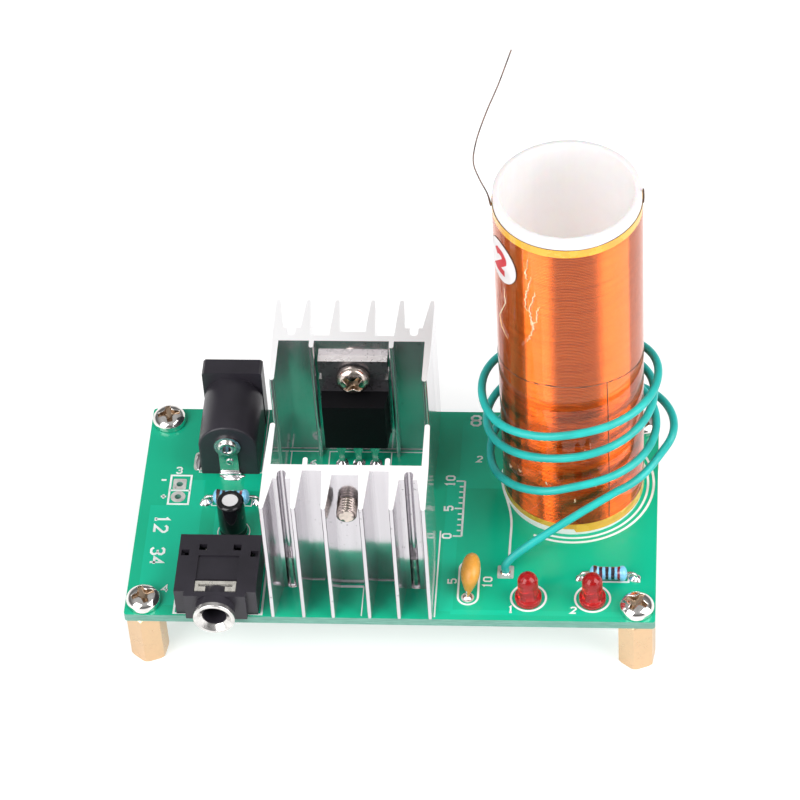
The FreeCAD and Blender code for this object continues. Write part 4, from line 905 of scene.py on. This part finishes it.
# Pan head with a cross recess, over polar rings: inside the cross, whose arms narrow outwards, the height
# drops from the crown to a cone-shaped floor.
def crossHead(foot, axis, turn, shankLength):
    look = screwLook
    share = np.linspace(0, 1, look["rings"])[:, None]
    angle = np.linspace(0, fullTurn, look["columns"])[None, :]
    reach = look["radius"] * np.sin(share * math.pi / 2)
    x, y = reach * np.cos(angle), reach * np.sin(angle)
    crown = crownHeight(reach)
    along = np.maximum(abs(x), abs(y))
    half = look["armHalf"] + (look["armTip"] - look["armHalf"]) * along / look["arm"]
    inside = np.minimum(half - np.minimum(abs(x), abs(y)), look["arm"] - along)
    inside = np.maximum(inside, look["pocket"] - reach)
    drop = np.clip(inside / look["wall"], 0, 1)
    floor = look["top"] - look["depth"] * (1 - look["floorSlope"] * along / look["arm"])
    height = crown - drop ** 2 * (3 - 2 * drop) * np.maximum(crown - floor, 0)
    rows = [(look["radius"], look["rim"] * 0.5), (look["radius"], 0.06), (look["radius"] - 0.06, 0),
            (look["shank"], 0), (look["shank"], -shankLength + 0.2), (look["shank"] - 0.2, -shankLength),
            (0, -shankLength)]
    reach = np.concatenate([np.broadcast_to(reach, x.shape)] + [np.full((1, x.shape[1]), r) for r, h in rows])
    height = np.concatenate([height] + [np.full((1, x.shape[1]), h) for r, h in rows])
    return aboutAxis(foot, axis, reach, angle + math.radians(turn), height)


# Gives the faces inside a screw's cross recess a second, darker brown finish: those near the axis, under the
# crown. This is painted shade in the recess.
def darkenRecess(thing, foot, axis, finish):
    mesh = thing.data
    middle = np.empty(len(mesh.polygons) * 3)
    mesh.polygons.foreach_get("center", middle)
    away = (middle.reshape(-1, 3) - (0, 0, boardTop)) / mm - np.asarray(foot, float)
    height = away @ np.asarray(axis, float)
    reach = np.sqrt(np.maximum((away ** 2).sum(axis=1) - height ** 2, 0))
    look = screwLook
    inside = reach < look["arm"] + look["shadeReach"]
    inside &= (height < crownHeight(reach) - look["shadeUnder"]) & (height > look["shadeOver"])
    slot = len(mesh.materials)
    mesh.materials.append(finish.material)
    index = np.zeros(len(mesh.polygons), np.int32)
    mesh.polygons.foreach_get("material_index", index)
    mesh.polygons.foreach_set("material_index", np.where(inside, slot, index).astype(np.int32))


boardScrews = {(-1, -1): 24, (1, -1): 61, (-1, 1): 12, (1, 1): 40}
screwSpacing = (36.05, 18.15)
for number, ((x, y), turn) in enumerate(boardScrews.items(), 1):
    foot = (screwSpacing[0] * x, screwSpacing[1] * y, 0.0)
    head = piece(f"crossHeadScrew{number}", [crossHead(foot, (0, 0, 1), turn, screwLook["boardShank"])])
    settle(head, chrome, ["board_screws"])
    darkenRecess(head, foot, (0, 0, 1), paintedRecessShade)

sinkScrews = {"front": {"place": (-5.3, -10.85, 17.5), "axis": (0, 1, 0), "turn": 20, "length": 5.85},
              "rear": {"place": (-6.28, 11.1, 17.5), "axis": (0, -1, 0), "turn": 47, "length": 5.85}}
threadLook = {"radius": 1.5, "core": 1.24, "pitch": 0.5, "start": 3.0, "tip": 0.28, "rowsPerTurn": 12,
              "columns": 49}


# Thread: the reach at a height and an angle falls from crest to core as the triangle wave of
# height / pitch - turn.
def threadGrid(place, axis, length):
    look = threadLook
    rows = int((length - look["start"]) / look["pitch"] * look["rowsPerTurn"])
    height = np.linspace(look["start"], length, rows)[:, None]
    angle = np.linspace(0, fullTurn, look["columns"])[None, :]
    phase = height / look["pitch"] - angle / fullTurn
    wave = 1 - np.clip(2.6 * np.abs(phase - np.round(phase)) - 0.1, 0, 1)
    taper = np.clip((length - height) / look["tip"], 0, 1)
    reach = look["core"] - 0.12 * (1 - taper) + (look["radius"] - look["core"]) * wave * taper
    tipRows = [(1.05, length + 0.02), (0.55, length - 0.06), (0.0, length - 0.03)]
    ripple = 1 + 0.08 * np.sin(3 * angle)
    tipHeights = [np.full(angle.shape, h) for r, h in tipRows]
    height = np.concatenate([np.broadcast_to(height, reach.shape)] + tipHeights)
    reach = np.concatenate([reach] + [r * ripple for r, h in tipRows])
    return aboutAxis(place, axis, reach, angle, -height)


for name, look in sinkScrews.items():
    shank = threadLook["start"] + 0.1
    head = piece(name + "SinkScrew", [crossHead(look["place"], look["axis"], look["turn"], shank)])
    settle(head, darkNickel, ["transistor_screws"])
    darkenRecess(head, look["place"], look["axis"], paintedRecessShade)
threads = [threadGrid(look["place"], look["axis"], look["length"]) for look in sinkScrews.values()]
settle(piece("sinkScrewThreads", threads), darkNickel)
print("screws made")

# Sockets

collarLook = {"place": (-24.97, -18.8, 2.5), "bore": 1.8, "start": 3.92, "flange": 3.05, "length": 4.8}


# Collar of the audio socket: a ring with a rounded lip and a bevel that leads into the bore.
def audioCollar():
    look = collarLook
    bore, start, flange, length = look["bore"], look["start"], look["flange"], look["length"]
    profile = [(bore, start), (flange - 0.1, start), (flange, start + 0.1), (flange, length - 0.22)]
    profile += roundedCorner((flange - 0.22, length - 0.22), 0.22, 10, 90, 6)
    profile += [(flange - 0.5, length), (flange - 0.56, length - 0.05), (bore + 0.14, length - 0.62),
                (bore, length - 0.75), (bore, start)]
    return piece("audioCollar", [turnedGrid(profile, look["place"], (0, -1, 0), 96)], sharpAt=32)


settle(audioCollar(), collarSteel, ["audio_jack_bushing"])
neckLook = {"sleeve": 2.2, "outer": 2.86, "from": 2.53, "to": 3.92}


# The black sleeve behind the collar's ring: its bore, and a round boss in front of the housing.
def audioNeck():
    look = neckLook
    bore, sleeve, outer = collarLook["bore"], look["sleeve"], look["outer"]
    profile = [(bore, 0), (sleeve, 0), (sleeve, look["from"]), (outer, look["from"]), (outer, look["to"]),
               (bore, look["to"]), (bore, 0)]
    return piece("audioNeck", [turnedGrid(profile, collarLook["place"], (0, -1, 0), 72)], sharpAt=50)


settle(audioNeck(), blackMoulding, ["audio_jack_bushing"])

rivetLook = {"place": (-25.63, 7.05, 6.2), "outer": 1.42, "inner": 0.62, "rise": 0.14, "foot": -0.1}


# Rivet of the power socket: a rolled ring, and a hollow with a dark floor.
def powerRivet():
    look = rivetLook
    outer, inner, rise, foot = look["outer"], look["inner"], look["rise"], look["foot"]
    profile = [(0, 0.02), (inner - 0.1, 0.05), (inner, rise)]
    profile += roundedCorner(((outer + inner) / 2, rise), (outer - inner) / 2, 180, 0, 14)
    profile += [(outer, 0.0), (outer, foot), (0, foot)]
    return piece("powerRivet", [turnedGrid(profile, look["place"], (0, -1, 0), 72)])


settle(powerRivet(), chrome)
strapLook = {"dimple": (-25.45, 6.98, 3.1), "bar": (-25.55, 6.86, 0.62), "halfLength": 1.75, "barRadius": 0.3}


# The strap's pressed dimple and the bright fold where it goes into the board.
def strapDetails():
    look = strapLook
    dimple = turnedGrid([(0, 0.06), (0.2, 0.08), (0.42, 0.16), (0.55, 0.12), (0.62, 0.0), (0, 0)],
                        look["dimple"], (0, -1, 0), 40)
    x, y, z = look["bar"]
    share = np.linspace(-1, 1, 15)
    path = np.column_stack([x + look["halfLength"] * share, np.full(15, y), z + 0.05 * np.cos(2 * share)])
    width = look["barRadius"] * np.sqrt(1.02 - share ** 6)
    return piece("strapDetails", [dimple, tubeGrid(path, width, 16)])


settle(strapDetails(), solder)
print("sockets dressed")

# Resistors, capacitor, lamps

resistorShape = {"length": 5.6, "end": 1.15, "waist": 0.96, "axisHeight": 1.2, "bulge": 0.135,
                 "bulgeWidth": 0.085, "cap": 0.10}


# Resistor body: the reach swells from the waist to a bulge near each end, and closes
# over a quarter ellipse.
def resistorBody(name, node):
    look = resistorShape
    share = np.concatenate([np.linspace(0, look["cap"], 10), np.linspace(look["cap"], 0.5, 22)[1:]])
    share = np.concatenate([share, 1 - share[-2::-1]])
    edge = np.minimum(share, 1 - share)
    swell = np.exp(-((edge - look["bulge"]) / look["bulgeWidth"]) ** 2)
    reach = look["waist"] + (look["end"] - look["waist"]) * swell
    reach = reach * np.sqrt(1 - (1 - np.clip(edge / look["cap"], 0, 1)) ** 2)
    x, y, z = middleOf(node)
    profile = np.column_stack([reach, share * look["length"]])
    grid = turnedGrid(profile, (x - look["length"] / 2, y, look["axisHeight"]), (1, 0, 0), 56)
    return settle(piece(name, [grid]), resistorFinish(name + "Lacquer", node), [node])


resistorBody("leftResistor", "left_resistor_body")
resistorBody("rightResistor", "right_resistor_body")

electrolyticLook = {"radius": 2.05, "height": 7.2, "disc": 1.2, "groove": 1.3, "corner": 0.5}


# Shrunk sleeve: bead and groove near its foot, and a rounded rim drawn in over the can's top.
def electrolyticSleeve():
    look = electrolyticLook
    radius, height, disc, corner = look["radius"], look["height"], look["disc"], look["corner"]
    profile = [(radius - 0.15, 0.0), (radius, 0.12), (radius, look["groove"] - 0.45)]
    profile += [(radius - 0.06, look["groove"] - 0.25), (radius - 0.16, look["groove"]),
                (radius - 0.06, look["groove"] + 0.25), (radius, look["groove"] + 0.45)]
    profile += roundedCorner((radius - corner, height - corner), corner, 0, 80, 9)
    profile += [(disc + 0.12, height - 0.02), (disc, height - 0.1), (disc, height - 0.2),
                (radius - 0.2, height - 0.4), (radius - 0.2, 0.0), (radius - 0.15, 0.0)]
    return piece("electrolyticSleeve", [turnedGrid(profile, (*electrolyticPlace, 0), columns=72)])


settle(electrolyticSleeve(), blackSleeve, ["electrolytic_sleeve"])
# The can's top faces up, so the aluminium finish paints it near white: bare metal and a painted highlight.
canProfile = [(0, 0.3), (1.75, 0.3), (1.8, 0.4), (1.8, 6.7), (1.5, 6.95), (1.2, 7.06), (0.9, 7.04),
              (0, 7.04)]
settle(piece("electrolyticCan", [turnedGrid(canProfile, (*electrolyticPlace, 0), columns=64)]),
       aluminium, ["electrolytic_can"])

lampLensLook = {"foot": 0.05, "flange": 1.95, "flangeTop": 1.15, "radius": 1.5, "top": 5.6, "forward": 0.4}


# Lamp lens: a flange with a soft edge, a straight barrel and a half sphere.
def lampLens(name, node, place):
    look = lampLensLook
    radius, foot, flange = look["radius"], look["foot"], look["flange"]
    profile = [(0, foot), (flange - 0.08, foot), (flange, foot + 0.08), (flange, look["flangeTop"] - 0.08),
               (flange - 0.08, look["flangeTop"]), (radius + 0.05, look["flangeTop"]),
               (radius, look["flangeTop"] + 0.06), (radius, look["top"] - radius)]
    profile += roundedCorner((0, look["top"] - radius), radius, 5, 90, 14)
    lens = piece(name, [turnedGrid(profile, (place[0], place[1] - look["forward"], 0), columns=72)])
    return settle(lens, redLens, [node])


lampLens("leftLamp", "left_indicator_lens", lampPlaces[0])
lampLens("rightLamp", "right_indicator_lens", lampPlaces[1])


# The two posts inside each lens: a slim one, and one that widens into a cup.
def lampPosts():
    slim = [(0, 0.12), (0.24, 0.12), (0.24, 2.3), (0.16, 2.45), (0, 2.45)]
    cup = [(0, 0.12), (0.24, 0.12), (0.24, 1.5), (0.62, 2.2), (0.66, 2.6), (0.5, 2.6), (0.3, 2.3), (0, 2.3)]
    grids = []
    for x, y in lampPlaces:
        y -= lampLensLook["forward"]
        grids.append(turnedGrid(slim, (x + 0.72, y, 0), columns=20))
        grids.append(turnedGrid(cup, (x - 0.45, y, 0), columns=28))
    return piece("lampPosts", grids)


settle(lampPosts(), tinned)
dropLook = {"lean": 0.72, "foot": 0.3, "top": 5.25, "halfThick": 1.4, "halfLong": 2.85, "footThick": 0.36,
            "footLong": 2.86, "widest": 3.1}


# Dipped capacitor: flat drop on edge. Over its height the half thickness swells from the leads to the widest
# place as a smooth step, the half length hardly, and both close over the top as a quarter ellipse.
def dropBody():
    look = dropLook
    share = np.concatenate([np.linspace(0, 1, 22), 1 + np.sin(np.linspace(0, math.pi / 2, 16))[1:]])
    rising = np.clip(share, 0, 1)
    closing = np.sqrt(np.maximum(1 - np.clip(share - 1, 0, 1) ** 2, 0))
    eased = np.sin(rising * math.pi / 2) ** 1.25
    thick = (look["footThick"] + (look["halfThick"] - look["footThick"]) * eased) * closing
    long = (look["footLong"] + (look["halfLong"] - look["footLong"]) * eased) * closing
    height = np.where(share < 1, look["foot"] + (look["widest"] - look["foot"]) * rising,
                      look["widest"] + (look["top"] - look["widest"]) * np.clip(share - 1, 0, 1))
    angle = np.linspace(0, fullTurn, 49)[None, :]
    aside = look["lean"] * (height / look["top"])[:, None]
    x = dropPlace[0] + aside + thick[:, None] * np.cos(angle)
    y = dropPlace[1] + long[:, None] * np.sign(np.sin(angle)) * np.abs(np.sin(angle)) ** 0.8
    grid = np.stack([x, y, np.broadcast_to(height[:, None], x.shape)], axis=-1)
    foot = grid[:1] * 0 + (dropPlace[0], dropPlace[1], look["foot"])
    return piece("dropBody", [placed(np.concatenate([foot, grid]))], sharpAt=60)


settle(dropBody(), ochre, ["drop_capacitor_body"])
print("small parts made")

# The coil

coilLook = {"inner": 9.37, "outer": 10.35, "height": 59.85, "crest": 10.505, "pitch": 0.3, "rowsPerTurn": 6,
            "columns": 80, "windingInner": 10.36, "valley": 10.365, "draws": 260, "low": 2.3, "high": 56.95,
            "tapeInner": 10.37, "tapeOuter": 10.5, "tapeTop": 58.25}
wrapLook = {"inner": 10.515, "outer": 10.53, "low": 2.25, "high": 57.0}


# A point on the coil, from its angle in degrees, its height and its reach.
def onCoil(angle, height, reach):
    angle = np.radians(np.asarray(angle, float))
    angle, height, reach = np.broadcast_arrays(angle, np.asarray(height, float), np.asarray(reach, float))
    x, y = coilFoot[0] + reach * np.cos(angle), coilFoot[1] + reach * np.sin(angle)
    return np.stack([x, y, height], axis=-1)


# White tube: a turned wall whose cut inner rim is slightly ragged, as sums of sines of the angle.
def whiteTubeWall():
    look = coilLook
    inner, outer, height = look["inner"], look["outer"], look["height"]
    profile = np.array([(inner, 0), (outer, 0), (outer, height - 0.08), (outer - 0.08, height),
                        (inner + 0.16, height), (inner + 0.03, height - 0.06), (inner, height - 0.3),
                        (inner, height - 1.2), (inner, 0)])
    angle = np.linspace(0, 360, 241)
    turn = np.radians(angle)
    ragged = 0.035 * np.sin(23 * turn + 1) + 0.03 * np.sin(41 * turn) + 0.02 * np.sin(67 * turn + 2)
    share = np.array([0, 0, 0, 0, 1.0, 0.9, 0.5, 0, 0])[:, None]
    points = onCoil(angle[None], profile[:, 1:], profile[:, :1] + share * ragged)
    return piece("whiteTubeWall", [placed(points)], sharpAt=50)


settle(whiteTubeWall(), whiteTube, ["secondary_former"])


# Fine winding: a helix of half-round turns. Each row of the grid climbs one pitch a turn, and is held between
# the two ends. The reach there is the crest less half a pitch plus sqrt((pitch/2)^2 - s^2), where s is the
# distance from the nearest turn; turns differ a little in reach.
def fineWinding():
    look = coilLook
    pitch = look["pitch"]
    turns = int((look["high"] - look["low"]) / pitch)
    rng = np.random.default_rng(11)
    angle = np.linspace(0, 360, look["columns"] + 1)[None, :]
    rows = look["rowsPerTurn"]
    turn = np.arange(-rows, (turns + 1) * rows + 1)[:, None] / rows
    height = np.clip(look["low"] + pitch * (turn + angle / 360), look["low"], look["high"])
    phase = (height - look["low"]) / pitch - angle / 360
    offset = (phase - np.round(phase)) * pitch
    turnNumber = np.round(phase) + angle / 360
    swell = np.interp(turnNumber, np.arange(look["draws"]), rng.normal(-0.006, 0.004, look["draws"]))
    reach = look["crest"] + swell - pitch / 2 + np.sqrt(np.maximum((pitch / 2) ** 2 - offset ** 2, 0))
    inner = np.full_like(reach[:1], look["windingInner"])
    reach = np.concatenate([inner, np.maximum(reach, look["valley"]), inner, inner])
    height = np.concatenate([height[:1], height, height[-1:], height[:1]])
    return piece("fineWinding", [placed(onCoil(angle, height, reach))])


settle(fineWinding(), enamelledCopper, ["secondary_winding"])


# A closed band round the coil between two reaches; its lower edge may change with the angle.
def bandGrid(inner, outer, low, high, columns=192):
    angle = np.linspace(0, 360, columns + 1)
    low = np.broadcast_to(low(angle) if callable(low) else low, angle.shape)
    high = np.broadcast_to(high, angle.shape)
    rows = [(inner, low), (outer, low), (outer, high), (inner, high), (inner, low)]
    return placed(np.stack([onCoil(angle, height, reach) for reach, height in rows]))


settle(piece("clearFilmWrap", [bandGrid(*wrapLook.values())], sharpAt=30), clearFilm)

lowerTapeLook = {"edge": 1.3, "overlapEdge": 0.62, "from": 272.0, "to": 395.0}


# The lower tape's overlap reaches further down over part of the way round.
def lowerTapeEdge(angle):
    look = lowerTapeLook
    turned = (angle - look["from"]) % 360
    return np.where(turned < look["to"] - look["from"], look["overlapEdge"], look["edge"])


def tapeBand(low, high):
    return bandGrid(coilLook["tapeInner"], coilLook["tapeOuter"], low, high)


settle(piece("upperTape", [tapeBand(coilLook["high"], coilLook["tapeTop"])], sharpAt=30),
       yellowTape, ["upper_tape_band"])
settle(piece("lowerTape", [tapeBand(lowerTapeEdge, coilLook["low"])], sharpAt=30),
       yellowTape, ["lower_tape_band"])

# Creases in the film, each as its angle and height at every bend.
creases = [
    [(-119.1, 55.3), (-122.2, 52.5), (-121.2, 51.3)],
    [(-116.9, 52.1), (-119.1, 50.5), (-121.9, 48.4), (-123.3, 45.9), (-120.7, 45.1)],
    [(-114.2, 49.4), (-115.9, 47.9), (-119.8, 45.7), (-118.6, 44.0), (-118.1, 42.7)],
    [(-111.5, 46.9), (-113.4, 45.4), (-113.3, 43.8), (-117.3, 43.0), (-116.7, 41.9),
     (-119.1, 41.0), (-122.4, 39.0)],
    [(-118.6, 44.0), (-117.3, 43.0)],
    [(-147.2, 46.4), (-145.6, 43.7), (-157.2, 39.8), (-154.5, 37.9), (-145.2, 36.7)],
    [(-110.2, 10.9), (-109.0, 10.4)], [(-111.0, 8.9), (-109.4, 8.3), (-108.2, 8.7)],
    [(-69.8, 11.0), (-69.5, 9.9)], [(-86.9, 8.0), (-86.5, 7.2)],
    [(-150.0, 9.8), (-148.6, 9.2), (-147.0, 9.9)], [(-137.0, 10.9), (-135.4, 10.3), (-134.2, 10.8)],
]
creaseLook = {"radius": 0.10, "steps": 7, "jag": 0.5}


# Even shares of the way along a list of (angle, height) bends, and the angle and the height at each.
def betweenBends(bends, steps):
    share = np.linspace(0, len(bends) - 1, steps)
    angle, height = (np.interp(share, np.arange(len(bends)), column) for column in np.transpose(bends))
    return share, angle, height


# A crease is a thin raised line on the film, jagged by alternate shifts of its angle, thinner at its ends.
def creaseGrids():
    rng = np.random.default_rng(5)
    grids = []
    for bends in creases:
        share, angle, height = betweenBends(bends, (len(bends) - 1) * creaseLook["steps"] + 1)
        angle = angle + rng.normal(0, creaseLook["jag"], len(share))
        swell = 0.35 + 0.65 * np.sin(math.pi * share / share[-1])
        width = creaseLook["radius"] * swell * rng.uniform(0.6, 1.2, len(share))
        grids.append(tubeGrid(onCoil(angle, height, wrapLook["outer"]), width, 8))
    return grids


settle(piece("filmCreases", creaseGrids()), paintedCreaseHighlight)

# The film's upper edge round the coil, and the seam below it, each as its angle and height at every bend.
ringLine = [(-169.3, 29.5), (-137, 30.5), (-106.9, 31.45), (-86, 31.5), (-59, 31.05), (-32.3, 30.15),
            (-9.8, 29.3), (30, 28.6), (80, 28.2), (130, 28.5), (190.7, 29.5)]
seamLine = [(-58.6, 31.0), (-58.0, 24.5), (-57.8, 12.5), (-58.3, 2.4)]
edgeLineRadius = 0.05


def coilLines():
    grids = []
    for bends in (ringLine, seamLine):
        share, angle, height = betweenBends(bends, 160)
        grids.append(tubeGrid(onCoil(angle, height, wrapLook["outer"]), edgeLineRadius, 6))
    return piece("filmEdges", grids)


settle(coilLines(), fineWire)

# The dark ring round the label reaches past it by edge and stands just under its face: a painted shadow round
# the label.
labelLook = {"radius": 3.6, "height": 51.3, "bearing": -150.6, "outer": 10.64, "foot": -0.1,
             "figure": 3.4, "stroke": 1.1, "edge": 0.06, "shadowRingTop": -0.05,
             "columns": 73, "rings": 14}


# Maps a plane's (aside, up, out) onto the coil round the label's middle.
def onLabel(points):
    points = np.asarray(points, float)
    reach = labelLook["outer"] + points[..., 2]
    return onCoil(labelLook["bearing"] + np.degrees(points[..., 0] / labelLook["outer"]),
                  labelLook["height"] + points[..., 1], reach)


# Round label: rings of growing radius, then the rim down to the film.
def labelGrid(radius, top, bottom):
    angle = np.linspace(0, fullTurn, labelLook["columns"])
    rows = [(radius * share, top) for share in np.linspace(0, 1, labelLook["rings"])]
    rows += [(radius, bottom), (0, bottom)]
    rings = [(np.column_stack([r * np.cos(angle), r * np.sin(angle)]), out) for r, out in rows]
    return placed(onLabel(np.stack(atHeights(rings))))


disc = labelGrid(labelLook["radius"], 0.0, labelLook["foot"])
settle(piece("roundLabel", [disc], sharpAt=50), paperLabel, ["round_label"])
# A dark ring a little wider than the label and just under its face: a painted shadow round the label's edge.
disc = labelGrid(labelLook["radius"] + labelLook["edge"], labelLook["shadowRingTop"], labelLook["foot"])
settle(piece("labelShadowRing", [disc], sharpAt=50), fineWire)
labelFigure = digitStrokes("2", (-labelLook["figure"] / 3, -labelLook["figure"] / 2), labelLook["figure"])
figureGrids = [strokeGrid(closeSet(path, 0.25), labelLook["stroke"], -0.03, 0.03) for path in labelFigure]
figureGrids = [placed(onLabel((grid - (0, 0, boardTop)) / mm)) for grid in figureGrids]
settle(piece("labelFigure", figureGrids, smooth=False), redInk)

topWireLook = {"startX": 15.59, "rise": 28.35, "radius": 0.095,
               "route": [(0, 0), (0.016, 0.079), (0.051, 0.175), (0.076, 0.279), (0.06, 0.411),
                         (0.004, 0.605), (-0.06, 0.785), (-0.127, 1.0)]}


# The winding's upper end: round the front on the tape's edge from a short tail, and up from the left as a
# free wire.
def topWire():
    look = topWireLook
    rising = [(look["startX"] - aside * look["rise"], coilFoot[1], coilLook["high"] + up * look["rise"])
              for aside, up in look["route"]]
    rising = smoothPath(rising, 14)
    share = np.linspace(0, 1, len(rising))
    width = look["radius"] * (1 + 0.8 * np.exp(-(share / 0.09) ** 2))
    angle = np.linspace(-180, -2, 150)
    along = onCoil(angle, coilLook["tapeTop"] + 0.03 + 0.03 * np.sin(angle / 9), 10.44)
    tail = smoothPath([onCoil(-2, 58.0, 10.52), onCoil(-1, 59.0, 10.56), onCoil(0, 60.2, 10.5)], 8)
    return piece("topWire", [tubeGrid(rising, width, 12), tubeGrid(along, 0.04, 8),
                             tubeGrid(tail, 0.13, 10)])


settle(topWire(), fineWire, ["secondary_top_wire"])
print("coil made")

# Primary winding, on the stations of its route: the share of a turn, and the reach and height as shares.

primaryLook = {"radius": 0.6, "start": (16.75, -11.5), "end": (15.5, 18.5), "standOff": 0.3, "rise": 1.2,
               "climb": (2.1, 1.8), "reach": 10.35, "height": 25.0, "stationSteps": 9}
primaryShares = [
    (-0.153, 1.16, 0.366), (-0.061, 1.26, 0.402), (0.0, 1.44, 0.5), (0.25, 1.23, 0.36), (0.5, 1.179, 0.312),
    (0.625, 1.25, 0.40), (0.7, 1.245, 0.462), (0.78, 1.19, 0.517), (1.0, 1.19, 0.532), (1.25, 1.16, 0.54),
    (1.5, 1.213, 0.584), (1.75, 1.22, 0.765), (2.0, 1.159, 0.81), (2.12, 1.12, 0.76), (2.25, 1.13, 0.744),
    (2.5, 1.251, 0.872), (2.625, 1.335, 0.915), (2.7, 1.31, 0.955), (2.78, 1.265, 0.99),
    (3.0, 1.217, 0.98), (3.12, 1.15, 0.90), (3.25, 1.33, 0.80), (3.327, 1.517, 0.56),
]


def atStations(shares):
    turn, reach, height = np.transpose(shares)
    return onCoil(360 * turn, primaryLook["height"] * height, primaryLook["reach"] * reach)


# Loose turns: between stations the turn share, the reach and the height each follow a smooth curve, so that
# the wire bows round the coil, and its two ends bend down into the board.
def primaryTube():
    look = primaryLook
    start = np.array([*look["start"], look["standOff"]])
    end = np.array([*look["end"], look["standOff"]])
    rise = np.array([0, 0, look["rise"]])
    across = (atStations(primaryShares[0]) - start) * (1, 1, 0)
    across /= np.linalg.norm(across)
    climb = start + rise + across * look["climb"][0] + (0, 0, look["climb"][1])
    turns = atStations(smoothPath(primaryShares, look["stationSteps"]))
    route = smoothPath(np.vstack([start, start + rise, climb, turns, end + rise, end]), 5)
    return piece("primaryTube", [tubeGrid(route, look["radius"], 28)], sharpAt=50)


settle(primaryTube(), turquoise, ["primary_winding"])
print("primary made")

# Stage, light and camera

cameraLook = {"azimuth": 6.553, "elevation": 46.196, "roll": -4.13, "lens": 164.59,
              "place": (43.39, -362.96, 405.19)}


# Unit vector outwards, from an azimuth about the board and an elevation in degrees.
def outwardAt(azimuth, elevation):
    a, e = math.radians(azimuth), math.radians(elevation)
    return Vector((math.sin(a) * math.cos(e), -math.cos(a) * math.cos(e), math.sin(e)))


# The camera's axes from its azimuth and elevation about the board, then turned by its roll.
def makeCamera():
    look = cameraLook
    a, r = math.radians(look["azimuth"]), math.radians(look["roll"])
    back = outwardAt(look["azimuth"], look["elevation"])
    level = Vector((math.cos(a), math.sin(a), 0))
    over = back.cross(level)
    right = level * math.cos(r) + over * math.sin(r)
    up = over * math.cos(r) - level * math.sin(r)
    lens = bpy.data.cameras.new("photoCamera")
    lens.lens = look["lens"]
    lens.sensor_width = 36.0
    lens.clip_start = 0.01
    camera = bpy.data.objects.new("photoCamera", lens)
    bpy.context.scene.collection.objects.link(camera)
    matrix = Matrix((right, up, back)).transposed().to_4x4()
    matrix.translation = Vector(look["place"]) * mm + Vector((0, 0, boardTop))
    camera.matrix_world = matrix
    bpy.context.scene.camera = camera


makeCamera()

stageLook = {"half": 3.0, "height": -0.00002, "floor": colour(0.55, 0.55, 0.55), "glow": 0.58}


# Floor: pale diffuse, and for the camera, mirrors and glass an added glow that lifts it to white.
def makeFloor():
    half = stageLook["half"]
    across = np.linspace(-half, half, 2)
    xs, ys = np.meshgrid(across, across)
    grid = np.stack([xs, ys, np.full_like(xs, stageLook["height"])], axis=-1)
    floor = piece("floor", [grid], outwards=False)
    finish = Finish("paleFloor", {"Base Color": stageLook["floor"], "Roughness": 0.9,
                                  "Specular IOR Level": 0.0})
    seen = finish.node("LightPath", output="Is Camera Ray")
    mirrored = finish.node("LightPath", output="Is Glossy Ray")
    through = finish.node("LightPath", output="Is Transmission Ray")
    strength = (seen + mirrored + through) * stageLook["glow"]
    glow = finish.node("Emission", inputs={"Color": colour(1, 1, 1), "Strength": strength})
    both = finish.tree.nodes.new("ShaderNodeAddShader")
    finish.tree.links.new(finish.shader.outputs[0], both.inputs[0])
    finish.tree.links.new(glow.socket, both.inputs[1])
    output = finish.tree.nodes["Material Output"]
    finish.tree.links.new(both.outputs[0], output.inputs["Surface"])
    dress(floor, finish)


makeFloor()

# How bright the sky is, from the horizon up, each with the sine of its elevation.
skyLook = [(0.10, 1.0), (0.21, 0.20), (0.45, 0.14), (0.85, 0.48)]


# World: white at the horizon, as a studio's pale walls, and greyer overhead.
def makeWorld():
    world = bpy.data.worlds.new("studio")
    world.use_nodes = True
    bpy.context.scene.world = world
    tree = world.node_tree
    light = tree.nodes["Background"]
    place = tree.nodes.new("ShaderNodeTexCoord")
    parts = tree.nodes.new("ShaderNodeSeparateXYZ")
    ramp = tree.nodes.new("ShaderNodeValToRGB")
    elements = ramp.color_ramp.elements
    elements.remove(elements[1])
    elements[0].position, elements[0].color = skyLook[0][0], colour(*[skyLook[0][1]] * 3)
    for height, strength in skyLook[1:]:
        elements.new(height).color = colour(strength, strength, strength)
    tree.links.new(place.outputs["Generated"], parts.inputs[0])
    tree.links.new(parts.outputs["Z"], ramp.inputs["Fac"])
    tree.links.new(ramp.outputs["Color"], light.inputs["Color"])
    light.inputs["Strength"].default_value = 1.0


makeWorld()

lampLook = {
    "left": {"azimuth": -43.0, "elevation": 34.0, "away": 0.6, "size": (0.40, 0.62), "power": 3.6},
    "right": {"azimuth": 71.0, "elevation": 34.0, "away": 0.6, "size": (0.46, 0.62), "power": 3.9},
}


# Soft area lamps, each aimed at the object's middle from its azimuth and elevation.
def makeLamps():
    aim = (cadLow + cadHigh) / 2
    for name, look in lampLook.items():
        out = outwardAt(look["azimuth"], look["elevation"])
        lamp = bpy.data.lights.new(name + "Lamp", "AREA")
        lamp.shape = "RECTANGLE"
        lamp.size, lamp.size_y = look["size"]
        lamp.energy = look["power"]
        thing = bpy.data.objects.new(name + "Lamp", lamp)
        bpy.context.scene.collection.objects.link(thing)
        thing.location = aim + out * look["away"]
        thing.rotation_euler = out.to_track_quat("Z", "Y").to_euler()


makeLamps()
bpy.context.scene.view_settings.view_transform = "Standard"

print("scene ready")
